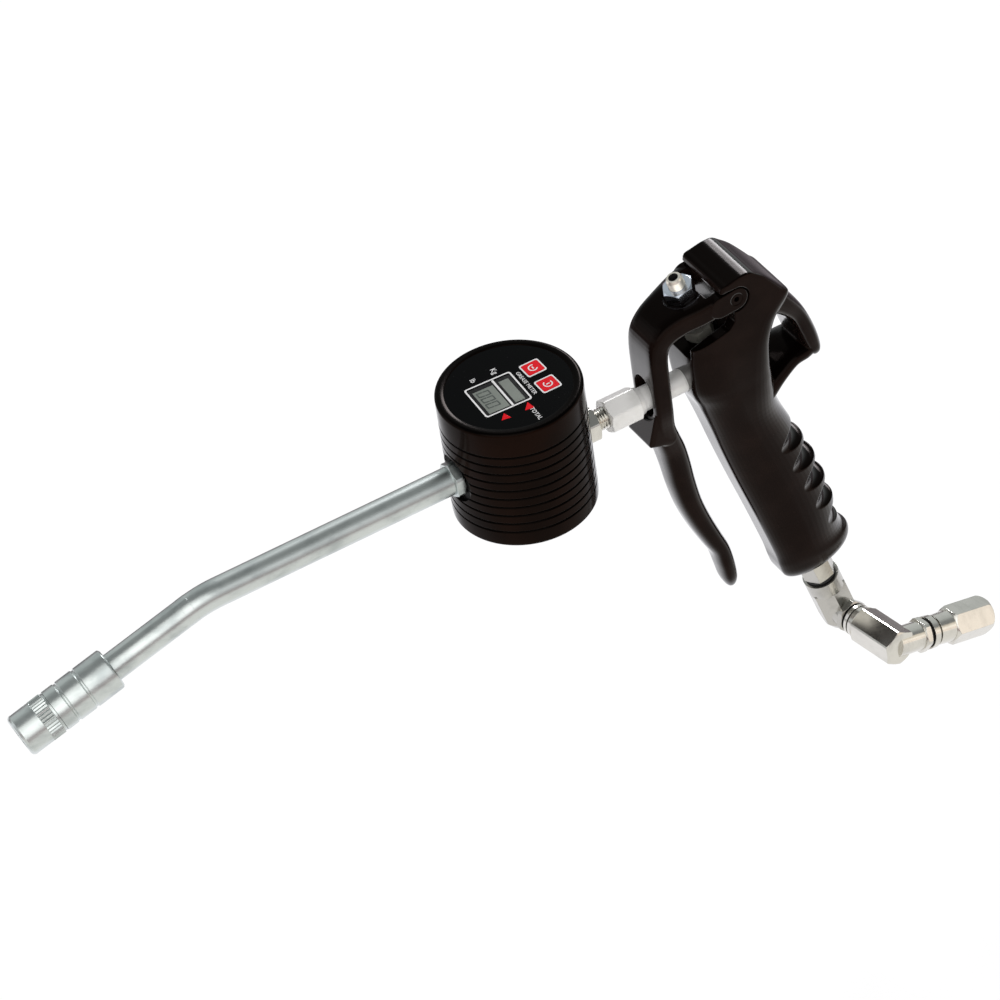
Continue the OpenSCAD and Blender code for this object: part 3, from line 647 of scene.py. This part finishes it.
class GunLooks(bpy.types.PropertyGroup):
    """Colours and finish sizes a user may change."""

    paint_colour: FloatVectorProperty(
        name="Paint", description="Colour of the painted casting and lever", subtype="COLOR",
        default=(0.0088, 0.0049, 0.0038), min=0, max=1)
    paint_roughness: FloatProperty(
        name="Paint roughness", description="Roughness of the casting's paint",
        default=0.14, min=0.05, max=1)
    meter_colour: FloatVectorProperty(
        name="Meter", description="Colour of the meter's housing", subtype="COLOR",
        default=(0.0050, 0.0024, 0.0016), min=0, max=1)
    face_colour: FloatVectorProperty(
        name="Face", description="Colour of the meter's face", subtype="COLOR",
        default=(0.0012, 0.0013, 0.0015), min=0, max=1)
    display_colour: FloatVectorProperty(
        name="Display", description="Colour of the display's glass", subtype="COLOR",
        default=(0.145, 0.17, 0.138), min=0, max=1)
    zinc_colour: FloatVectorProperty(
        name="Zinc", description="Colour of the zinc plated tube and coupler", subtype="COLOR",
        default=(0.66, 0.70, 0.685), min=0, max=1)
    nickel_colour: FloatVectorProperty(
        name="Nickel", description="Colour of the plated fittings", subtype="COLOR",
        default=(0.72, 0.70, 0.65), min=0, max=1)
    key_colour: FloatVectorProperty(
        name="Keys", description="Colour of the meter's keys", subtype="COLOR",
        default=(0.82, 0.003, 0.012), min=0, max=1)


class ShapeSettings(bpy.types.PropertyGroup):
    """Sizes of the pieces made here."""

    voxel: FloatProperty(
        name="Casting detail", description="Size of the casting's finest detail", subtype="DISTANCE",
        unit="LENGTH", default=0.00026, min=0.0002, max=0.002, precision=5)
    ease: IntProperty(
        name="Edge softness", description="Smoothing passes on the castings", default=2, min=0, max=30)
    print_height: FloatProperty(
        name="Print height", description="Thickness of the print on the face", subtype="DISTANCE",
        unit="LENGTH", default=0.00004, min=0.00001, max=0.0005, precision=5)


class StageSettings(bpy.types.PropertyGroup):
    """Floor, light and camera."""

    floor_colour: FloatVectorProperty(
        name="Floor", description="Colour of the floor", subtype="COLOR",
        default=(0.9, 0.9, 0.9), min=0, max=1)
    key_power: FloatProperty(
        name="Key light", description="Power of the main soft light", default=12.5, min=0, max=500)
    fill_power: FloatProperty(
        name="Fill light", description="Power of the fill light", default=1.7, min=0, max=500)
    rim_power: FloatProperty(
        name="Rim light", description="Power of the light behind the hood",
        default=5.0, min=0, max=500)
    lens: FloatProperty(
        name="Lens", description="Focal length of the camera in millimetres",
        default=180.0, min=20, max=400)


# Operators

class GREASEGUN_OT_casting(bpy.types.Operator):
    """Make the gun's cast body with its hood, hang loop, grip and finger scoops"""

    bl_idname = "greasegun.casting"
    bl_label = "Gun Casting"

    def execute(self, context):
        shape = context.scene.greasegun_shape
        levels = spline_rows([
            (-86.4, 99, 116, 5.5, 2.4, 1.7, 2.2, 0.25),
            (-85.6, 96, 119.4, 8, 3, 1.7, 2.2, 0.25),
            (-83.2, 93.6, 122, 9.8, 3.7, 1.6, 2.2, 0.22),
            (-79, 92.1, 121.9, 10.4, 4, 1.6, 2.2, 0.16),
            (-73, 90.6, 118.6, 10.5, 4.2, 1.6, 2.2, 0.08),
            (-56, 85.5, 116.5, 10.6, 4.2, 1.6, 2.3, 0),
            (-34, 78.9, 110.4, 10.8, 4.2, 1.6, 2.3, 0),
            (-18, 74.4, 103.6, 11, 4.4, 1.6, 2.4, 0),
            (-5, 71, 98.6, 11.3, 4.6, 1.7, 2.6, 0),
            (6, 67.8, 96.2, 11.8, 4.8, 1.8, 4, 0),
            (12, 65.6, 95.2, 12, 5, 2, 5.5, 0),
            (17, 64.6, 94.4, 12.2, 5.3, 2.2, 7, 0),
            (27, 64.2, 94.6, 12.5, 6, 2.6, 9, 0),
            (34, 64.6, 96.8, 12.5, 7.2, 2.9, 10, 0),
            (38, 65, 99, 12.5, 8, 3.2, 12, 0),
            (43.6, 68.3, 103.3, 12.5, 9.4, 3.8, 14, 0),
            (47, 70.6, 101.1, 12.5, 10, 4, 14, 0),
            (54.6, 75.8, 95.1, 12.5, 11, 5, 14, 0),
            (58.2, 77.2, 91.1, 12.5, 11.4, 6, 14, 0),
            (59, 79.9, 90.15, 12.45, 11.4, 6, 14, 0),
            (59.55, 82.4, 89.2, 12.4, 11.3, 6, 14, 0),
            (59.9, 84.2, 88.2, 12.2, 11.2, 6, 14, 0),
            (60, 85.3, 87.2, 11.8, 11, 6, 14, 0)], 6)
        tail = spline_rows([
            (93, 47, 10, 23.6, 4), (97.2, 41.9, 11.6, 23.2, 4), (102.6, 36.3, 8.6, 22, 4),
            (107.2, 29.8, 6.9, 20.6, 4), (110.2, 21.8, 6.8, 19.8, 4), (112.2, 14.6, 6.8, 19, 3.4),
            (113.2, 10.4, 5.6, 18, 3), (113.7, 8.4, 3.2, 15, 2.6), (113.8, 7.4, 1.2, 11, 2.4)], 6)
        foot = spline_rows([
            (113, 11.7, 5.2, 17, 3), (109.4, 11.1, 5.8, 18.8, 3.2), (104.4, 10.4, 5.6, 19.4, 3.2),
            (99.6, 7.2, 5.8, 19.6, 3.2), (95, 3, 6.8, 19.4, 3.2), (90, -4, 7, 18, 3.2)], 6)
        body = skin("gun_casting", [casting_ring(r) for r in levels])
        loops = [skin("tail", bar_rings(tail)), skin("foot", bar_rings(foot))]
        combine(body, loops, "UNION")
        combine(body, self.cutters(), "DIFFERENCE")
        soften(body, shape.voxel, shape.ease)
        paint(body, casting_paint(context.scene.greasegun_looks), "gun", ["gun_body"])
        return {"FINISHED"}

    def cutters(self):
        """Tools for the lever's pockets, the finger scoops and the bores."""
        px, pz = PIVOT.x, PIVOT.z
        room = 4.95
        pocket_floor, outside = 8, 20
        scoops, scoop_ring, scoop_r, scoop_points = 5, 16.4, 5, 40
        outline = [(px, pz + room), (76, pz + 4.6), (70, pz + 3.8), (45, pz - 1), (45, 33), (62, 35),
                   (67, 36.8), (73, 38.6), (78.6, 40.2), (80.8, 42.6), (81.2, 46.7), (px, pz - room)]
        web = [(76.9, 56.03), (70, pz + 3.8), (45, pz - 1), (45, 25.6), (62, 31), (70, 33.2),
               (79.4, 35.8), (79.8, 41), (px - 5.6, 46.4)]
        made = [prism("web", web, -8.1, 8.1)]
        for side in (-1, 1):
            low, high = sorted((side * pocket_floor, side * outside))
            made.append(prism("pocket", outline, low, high))
            made.append(rod("end", (px, low, pz), (px, high, pz), room))
        groove = []
        for i in range(scoop_points):
            a = 2 * math.pi * i / scoop_points
            groove.append((scoop_ring + scoop_r * math.cos(a), scoop_r * math.sin(a)))
        for k in range(scoops):
            wheel = GUN @ Matrix.Translation((0.2 + 0.42 * k, 0, -61.6 - 11.5 * k))
            made.append(lathe("scoop", groove, wheel, 60, -90, 90))
        bores = ((6.6, 0.01, 12), (5.02, -10, 20), (4.87, -139.3, -111.9), (7, -139.3, -120))
        for radius, low, high in bores:
            made.append(rod("bore", GUN @ Vector((0, 0, low)), GUN @ Vector((0, 0, high)), radius))
        made.append(rod("outlet", (50, 0, ROD_Z), (70.5, 0, ROD_Z), 4.32))
        made.append(rod("cross", (px, -17, pz), (px, 17, pz), 2.2))
        return made


class GREASEGUN_OT_lever(bpy.types.Operator):
    """Make the lever with its forked head, rod slot, lip and finger grip"""

    bl_idname = "greasegun.lever"
    bl_label = "Lever"

    def execute(self, context):
        shape = context.scene.greasegun_shape
        path = spline_rows([
            (80.5, 51.3, 8.5, 24.8, 7), (75, 50.6, 8.6, 24.7, 7), (69, 49.2, 8.8, 23, 6),
            (63, 47.6, 8.8, 19.6, 6), (58, 45.4, 8.6, 17.6, 6), (54.5, 41.8, 8, 16.6, 6),
            (53.2, 36, 7.3, 16.2, 7), (53, 26, 7.2, 16, 7), (53, 14, 7.2, 15.6, 7),
            (53.3, 5.5, 7.8, 14, 5), (54.6, -1, 8.8, 13, 4), (56.4, -8, 9.6, 12, 3.2),
            (57.8, -16, 9.7, 11.5, 2.8), (59, -25, 9.4, 11.2, 2.7), (60.9, -35, 8.8, 11, 2.7),
            (63.9, -45, 8.2, 10.8, 2.7), (67.7, -55, 7.4, 10.6, 2.7), (70.5, -62, 6.7, 10.4, 2.7),
            (72, -69.5, 6.3, 10, 2.7), (72.9, -76, 5.6, 9, 2.6), (73.3, -79.6, 3.8, 6.4, 2.4),
            (73.5, -81, 1.6, 3.4, 2.2)], 5)
        body = skin("lever_casting", bar_rings(path))
        px, pz = PIVOT.x, PIVOT.z
        fork_half, arm_out = 8.4, 12.4
        slot_r, slot_from, slot_to = 5.2, 48, 60
        arms = []
        for side in (-1, 1):
            low, high = sorted((side * fork_half, side * arm_out))
            ends = disc_points((px, pz), 4.4, low, high) + disc_points((76.5, pz - 0.6), 4.25, low, high)
            arms.append(hull("arm", ends))
        lip = disc_points((46.6, 2.2), 1, -7, 7) + disc_points((50, 12.4), 1.2, -7, 7)
        arms.append(hull("lip", lip + disc_points((54, 1), 2.6, -6.5, 6.5)))
        combine(body, arms, "UNION")
        slot = []
        for z in (21.6, 15.4):
            slot += disc_points((0, z), slot_r, slot_from, slot_to, "X")
        cuts = [
            prism("fork", [(73, 30), (93, 30), (93, 70), (73, 70)], -fork_half, fork_half),
            hull("slot", slot),
            rod("scoop", (40, 0, ROD_Z), (49.4, 0, ROD_Z), 7.7),
            rod("cross", (px, -17, pz), (px, 17, pz), 2.25),
            rod("screw", GUN @ Vector((0, 0, 5)), GUN @ Vector((0, 0, 35)), 3.02),
            rod("seat", GUN @ Vector((0, 0, 19.4)), GUN @ Vector((0, 0, 29.4)), 6.6),
        ]
        combine(body, cuts, "DIFFERENCE")
        soften(body, shape.voxel, shape.ease)
        paint(body, bpy.data.materials["casting_paint"], "lever", ["lever"])
        return {"FINISHED"}


class GREASEGUN_OT_valve_parts(bpy.types.Operator):
    """Finish the pivot pin, the adjusting screw and the valve's own pieces"""

    bl_idname = "greasegun.valve_parts"
    bl_label = "Valve Parts"

    def execute(self, context):
        dress(["set_screw"], socket_zinc())
        dress(["lock_nut"], plated("bright_zinc", (0.68, 0.73, 0.82), 0.17, 0.12))
        dress(["lever_pin"], bpy.data.materials["casting_paint"])
        steel = plated("plain_steel", (0.56, 0.56, 0.55), 0.26, 0.2)
        dress(["valve_stem", "valve_ball", "valve_seat", "valve_spring", "coupler_spring"], steel)
        dress(["valve_cage", "coupler_piston"], plated("turned_brass", (0.72, 0.53, 0.22), 0.24, 0.15))
        rubber = moulded("seal_rubber", (0.012, 0.012, 0.012), 0.55, 0.4)
        dress(["stem_packing", "inlet_seal", "base_seal", "seal_1", "seal_2", "seal_3"], rubber)
        return {"FINISHED"}


class GREASEGUN_OT_meter_shell(bpy.types.Operator):
    """Turn the meter's grooved housing with its round spot faces"""

    bl_idname = "greasegun.meter_shell"
    bl_label = "Meter Shell"

    def execute(self, context):
        r, h = METER_R, METER_H
        seat_r, seat_z = 21.65, 47.2
        well_r, well_z = 19.5, 34
        works_r, works_z = 18.6, 28
        sensor_r = 2
        spot_x = 23.5
        line = [(works_r, 0), (r - 1.0, 0), (r - 0.35, 0.18), (r - 0.1, 0.6), (r, 2)]
        pitch = (h - TOP_BAND - FIRST_GROOVE) / (GROOVES - 1)
        for i in range(GROOVES):
            z = FIRST_GROOVE + pitch * i
            line += [(r, z - 0.55), (r - 0.1, z - 0.45), (r - 0.72, z - 0.08), (r - 0.78, z),
                     (r - 0.72, z + 0.08), (r - 0.1, z + 0.31), (r, z + 0.4)]
        for a in QUARTER:
            line.append((r - RIM_R + RIM_R * math.cos(a), h - RIM_R + RIM_R * math.sin(a)))
        line += [(21.95, h), (21.75, h - 0.08), (seat_r, h - 0.25), (seat_r, seat_z), (well_r, seat_z),
                 (well_r, well_z), (sensor_r, well_z), (sensor_r, works_z), (works_r, works_z)]
        shell = lathe("meter_shell", line, Matrix.Identity(4), 192)
        cuts = [rod("in_port", (15, 0, ROD_Z), (35, 0, ROD_Z), PORT_R),
                rod("in_face", (spot_x, 0, ROD_Z), (35, 0, ROD_Z), 7.6),
                rod("out_port", (-30, 0, TUBE_Z), (-15, 0, TUBE_Z), PORT_R),
                rod("out_face", (-35, 0, TUBE_Z), (-spot_x, 0, TUBE_Z), 8.6)]
        combine(shell, cuts, "DIFFERENCE")
        smooth_by_angle(shell, 24)
        paint(shell, turned_paint(context.scene.greasegun_looks), "gun", ["meter_housing"])
        return {"FINISHED"}


class GREASEGUN_OT_meter_face(bpy.types.Operator):
    """Finish the face: display, print, keys and their white rims"""

    bl_idname = "greasegun.meter_face"
    bl_label = "Meter Face"

    def execute(self, context):
        looks = context.scene.greasegun_looks
        high = context.scene.greasegun_shape.print_height / MM
        dress(["face_panel"], face_gloss(looks))
        # The display's black mask is real, and where the panes leave it wider on the +Y side it is also
        # painted shadow.
        dress(["lcd_module"], moulded("display_mask", (0.006, 0.006, 0.006), 0.22, 0.1))
        white = moulded("print_white", (0.86, 0.86, 0.85), 0.4, 0.3)
        red = moulded("key_red", tuple(looks.key_colour), 0.24, 0.05)
        dress(["button_bezels"], white)
        dress(["button_1", "button_2"], red)
        centre = (-4.75, -1.15)
        outer = round_box(*centre, 17.4, 16.9, 1.0, FACE_TURN)
        inner = round_box(*centre, 16.2, 15.7, 0.7, FACE_TURN)
        border = frame_piece("display_border", outer, inner, FACE_TOP, FACE_TOP + high)
        paint(border, white, "gun")
        bar = round_box(-3.05, -1.2, 0.75, 15.3, 0.05, FACE_TURN)
        split = flat_piece("display_split", [bar], GLASS_TOP, FACE_TOP - 0.02)
        paint(split, white, "gun")
        # The panes stop short of the +Y side, so the black mask shows wider there as painted shadow of a
        # deep recess.
        panes = flat_piece("display_panes", [
            round_box(-7.8, -1.7, 7.6, 12.6, 0.2, FACE_TURN),
            round_box(0.1, -1.9, 3.6, 12.6, 0.2, FACE_TURN)], GLASS_TOP, GLASS_TOP + high)
        paint(panes, display_glass(looks), "gun")
        strokes = [s for k in range(3) for s in self.digit(-8.3 - 0.15 * k, 2.3 - 3.3 * k)]
        digits = flat_piece("display_digits", strokes, GLASS_TOP + high, GLASS_TOP + 2 * high)
        paint(digits, moulded("display_ink", (0.035, 0.05, 0.038), 0.35, 0.3), "gun")
        marks = flat_piece("pointer_marks", [
            [(1.0, -10.6), (-1.8, -13.8), (1.5, -14.5)],
            [(-8.1, -10.6), (-10.6, -13.3), (-7.2, -14.0)]], FACE_TOP, FACE_TOP + high)
        paint(marks, red, "gun")
        for name, words, size, x, y in (
                ("print_kg", "Kg", 2.8, 0.2, 10.1), ("print_lb", "lb", 2.8, -7.9, 10.2),
                ("print_total", "TOTAL", 2.2, 0.3, -17.4), ("print_use", "GREASE METER", 2.0, 5.7, -2.0)):
            piece = lettering(name, words, size, (x, y), FACE_TOP, high)
            paint(piece, white, "gun")
        for number, (x, y) in ((1, (11.4, 3.3)), (2, (11.15, -6.95))):
            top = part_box("button_%d" % number)[1].z / MM
            icon = flat_piece("key_icon_%d" % number, self.icon(x, y, number), top, top + high)
            paint(icon, white, "button_%d" % number)
        return {"FINISHED"}

    def digit(self, x, y):
        """Seven bars less the middle one: its right is -Y and its top is +X."""
        tall, wide, bar, gap, slant = 2.35, 1.05, 0.5, 0.12, 0.12
        strokes = []

        def stroke(u0, v0, u1, v1):
            points = [(u0, v0), (u1, v0), (u1, v1), (u0, v1)]
            strokes.append([(x + v, y - u - slant * v) for u, v in points])

        for v in (-tall, tall - bar):
            stroke(-wide + gap, v, wide - gap, v + bar)
        for u in (-wide - bar / 2, wide - bar / 2):
            stroke(u, -tall + gap, u + bar, -gap)
            stroke(u, gap, u + bar, tall - gap)
        return strokes

    def icon(self, x, y, number):
        """An open ring round a small bar, for restarting a count."""
        outline = []
        steps = 24
        first, last = (60, 330) if number == 1 else (120, 390)
        for radius, sweep in ((1.7, range(steps + 1)), (1.25, range(steps, -1, -1))):
            for k in sweep:
                a = math.radians(first + (last - first) * k / steps)
                outline.append((x + radius * math.cos(a), y + radius * math.sin(a)))
        wide, tall = (0.5, 1.3) if number == 1 else (1.3, 0.5)
        return [outline, round_box(x, y, wide, tall, 0.1)]


class GREASEGUN_OT_meter_works(bpy.types.Operator):
    """Finish the pieces inside the meter and under its base"""

    bl_idname = "greasegun.meter_works"
    bl_label = "Meter Works"

    def execute(self, context):
        dress(["circuit_board"], board_mask())
        cast = plated("machined_aluminium", (0.48, 0.49, 0.5), 0.34, 0.2)
        dress(["chamber_block", "base_cover"], cast)
        steel = bpy.data.materials["plain_steel"]
        dress(["battery", "key_domes", "gear_a", "gear_b", "gear_axles", "gear_magnets"], steel)
        dress(["base_screws", "board_screws"], steel)
        return {"FINISHED"}


class GREASEGUN_OT_delivery_line(bpy.types.Operator):
    """Finish the zinc plated tube, its fitting and the jaw coupler"""

    bl_idname = "greasegun.delivery_line"
    bl_label = "Delivery Line"

    def execute(self, context):
        zinc = drawn_zinc(context.scene.greasegun_looks)
        dress(["delivery_tube", "coupler_body", "coupler_cap", "outlet_fitting"], zinc)
        dress(["jaw_1", "jaw_2", "jaw_3", "jaw_4"], bpy.data.materials["plain_steel"])
        return {"FINISHED"}


class GREASEGUN_OT_fittings(bpy.types.Operator):
    """Finish the plated inlet pieces and the three-way swivel"""

    bl_idname = "greasegun.fittings"
    bl_label = "Fittings"

    def execute(self, context):
        colour = tuple(context.scene.greasegun_looks.nickel_colour)
        nickel = plated("nickel_plate", colour, 0.2, 0.14)
        dress(["inlet_fitting", "ring_2", "elbow_2", "ring_3", "end_connector"], nickel)
        # Painted shade: the swivel stud and first elbow get a darker copy of the same nickel plate.
        shaded_colour = tuple(0.7 * c for c in colour)
        dress(["swivel_stud", "elbow_1"], plated("dim_nickel", shaded_colour, 0.24, 0.14))
        dress(["outlet_adapter"], satin_plate("satin_plate", (0.99, 0.98, 0.95), (0.80, 0.79, 0.74)))
        # Painted shade: the gland nut under the lever gets a dark copy of the satin plate.
        dress(["gland_nut"], satin_plate("dull_plate", (0.16, 0.155, 0.135), (0.07, 0.066, 0.057)))
        return {"FINISHED"}


class GREASEGUN_OT_stage(bpy.types.Operator):
    """Lay the floor, set the lights and the camera"""

    bl_idname = "greasegun.stage"
    bl_label = "Stage"

    def execute(self, context):
        stage = context.scene.greasegun_stage
        self.floor(stage)
        self.world(context)
        self.light("key", (-0.75, -1.0, 1.15), 2.2, stage.key_power, (1.0, 0.99, 0.97))
        self.light("fill", (1.2, -0.9, 0.12), 1.0, stage.fill_power, (1.0, 0.87, 0.70))
        self.light("back", (-1.3, 0.8, 0.7), 1.1, stage.fill_power, (0.95, 0.95, 1.0))
        self.light("rim", (0.6, 0.76, 0.68), 0.28, stage.rim_power, (0.98, 0.97, 1.0))
        self.camera(context, stage)
        context.scene.view_settings.view_transform = "Standard"
        return {"FINISHED"}

    def floor(self, stage):
        """A plain sheet that is white to the camera and dims far behind in reflections."""
        low = cad_box[0][2] - SWIVEL_DROP
        half, squares = 4000, 8
        glow, camera_share, gloss_share, clear_share = 1.07, 0.84, 0.95, 0.75
        bm = bmesh.new()
        bmesh.ops.create_grid(bm, x_segments=squares, y_segments=squares, size=half)
        bmesh.ops.translate(bm, vec=(0, 0, low / MM), verts=bm.verts)
        floor = make("floor", bm)
        f = new_finish("floor_white")
        direct = f.ray("Camera")
        gloss = f.ray("Glossy")
        clear = f.ray("Transmission")
        depth = f.dot(f.place(), (0, 1, 0))
        sheet = f.mix(f.ramp(depth, -0.1, 0.02), (0.86, 0.85, 0.82), (0.96, 0.96, 0.99))
        corner = f.dot(f.place(), (0.6, 1, 0))
        card = f.mix(f.ramp(corner, 0.36, 0.56), sheet, (0.12, 0.10, 0.11))
        tint = f.mix(direct, card, (1, 1, 1))
        plain = f.node("ShaderNodeBsdfDiffuse", {}, {"Color": (*stage.floor_colour, 1)})
        bright = f.node("ShaderNodeEmission", {}, {"Color": tint, "Strength": glow})
        share = direct * camera_share + gloss * gloss_share + clear * clear_share
        mixed = f.node("ShaderNodeMixShader", {}, {0: share, 1: plain, 2: bright})
        f.node("ShaderNodeOutputMaterial", {}, {"Surface": mixed})
        floor.data.materials.append(f.owner)

    def world(self, context):
        """White to the camera, and in reflections a room that changes from front to back."""
        world = bpy.data.worlds.new("studio")
        world.use_nodes = True
        context.scene.world = world
        f = Finish(world, world.node_tree)
        way = f.node("ShaderNodeTexCoord", out="Generated")
        to_camera = (-0.416, -0.909, 0)
        front = f.dot(way, to_camera)
        rise = f.dot(way, UP)
        angle = f.node("ShaderNodeMath", {"operation": "ARCTAN2"}, {0: rise, 1: front}) / math.pi
        stops = [(0.0, (0.32, 0.23, 0.23)), (0.06, (0.40, 0.34, 0.34)), (0.13, (0.62, 0.62, 0.63)),
                 (0.28, (0.70, 0.72, 0.73)), (0.37, (0.20, 0.215, 0.215)), (0.64, (0.24, 0.25, 0.25)),
                 (0.73, (0.52, 0.555, 0.55)), (1.0, (0.60, 0.63, 0.63))]
        room = f.node("ShaderNodeValToRGB", {"stops": stops}, {0: angle})
        seen = f.mix(f.ray("Glossy"), (0.42, 0.42, 0.43), room)
        shown = f.mix(f.ray("Camera"), seen, (1, 1, 1))
        back = f.node("ShaderNodeBackground", {}, {"Color": shown, "Strength": 1.0})
        f.node("ShaderNodeOutputWorld", {}, {"Surface": back})

    def light(self, name, place, size, power, colour):
        """A round soft lamp turned towards the part."""
        lamp = bpy.data.lights.new(name, "AREA")
        lamp.shape = "DISK"
        lamp.size = size
        lamp.energy = power
        lamp.color = colour
        obj = bpy.data.objects.new(name, lamp)
        obj.location = place
        aim = LAMP_AIM - Vector(place)
        obj.rotation_euler = aim.to_track_quat("-Z", "Y").to_euler()
        bpy.context.scene.collection.objects.link(obj)

    def camera(self, context, stage):
        """The photograph's own view, from angles and a centre fitted to it."""
        turn, rise, roll = (math.radians(a) for a in CAMERA_ANGLES)
        back = Vector((math.sin(turn) * math.cos(rise), -math.cos(turn) * math.cos(rise), math.sin(rise)))
        right = Vector((math.cos(turn), math.sin(turn), 0))
        up = back.cross(right)
        side = right * math.cos(roll) + up * math.sin(roll)
        top = up * math.cos(roll) - right * math.sin(roll)
        far = CAMERA_FAR
        grain = PHOTO * stage.lens / SENSOR
        across, down = (centre - PHOTO / 2 for centre in PHOTO_CENTRE)
        place = back * far - side * (across * far / grain) + top * (down * far / grain)
        lens = bpy.data.cameras.new("camera")
        lens.lens = stage.lens
        lens.sensor_width = SENSOR
        lens.clip_start = 0.05
        lens.clip_end = 40
        obj = bpy.data.objects.new("camera", lens)
        turn_matrix = Matrix((side, top, back)).transposed().to_4x4()
        obj.matrix_world = Matrix.Translation(place) @ turn_matrix
        context.scene.collection.objects.link(obj)
        context.scene.camera = obj


class GREASEGUN_PT_panel(bpy.types.Panel):
    """Sidebar panel with the settings and the makers"""

    bl_idname = "GREASEGUN_PT_panel"
    bl_label = "Grease Gun"
    bl_space_type = "VIEW_3D"
    bl_region_type = "UI"
    bl_category = "Grease Gun"

    def draw(self, context):
        layout = self.layout
        for group in ("greasegun_looks", "greasegun_shape", "greasegun_stage"):
            owner = getattr(context.scene, group)
            for name in owner.__annotations__:
                layout.prop(owner, name)
        for maker in MAKERS:
            layout.operator(maker.bl_idname)


MAKERS = (
    GREASEGUN_OT_casting,
    GREASEGUN_OT_lever,
    GREASEGUN_OT_valve_parts,
    GREASEGUN_OT_meter_shell,
    GREASEGUN_OT_meter_face,
    GREASEGUN_OT_meter_works,
    GREASEGUN_OT_delivery_line,
    GREASEGUN_OT_fittings,
    GREASEGUN_OT_stage,
)
GROUPS = (GunLooks, ShapeSettings, StageSettings)


def register():
    for item in (*GROUPS, *MAKERS, GREASEGUN_PT_panel):
        bpy.utils.register_class(item)
    bpy.types.Scene.greasegun_looks = PointerProperty(type=GunLooks)
    bpy.types.Scene.greasegun_shape = PointerProperty(type=ShapeSettings)
    bpy.types.Scene.greasegun_stage = PointerProperty(type=StageSettings)


def unregister():
    del bpy.types.Scene.greasegun_stage
    del bpy.types.Scene.greasegun_shape
    del bpy.types.Scene.greasegun_looks
    for item in reversed((*GROUPS, *MAKERS, GREASEGUN_PT_panel)):
        bpy.utils.unregister_class(item)


def main():
    register()
    bpy.ops.greasegun.casting()
    bpy.ops.greasegun.lever()
    bpy.ops.greasegun.valve_parts()
    bpy.ops.greasegun.meter_shell()
    bpy.ops.greasegun.meter_face()
    bpy.ops.greasegun.meter_works()
    bpy.ops.greasegun.delivery_line()
    bpy.ops.greasegun.fittings()
    bpy.ops.greasegun.stage()


if __name__ == "__main__":
    main()
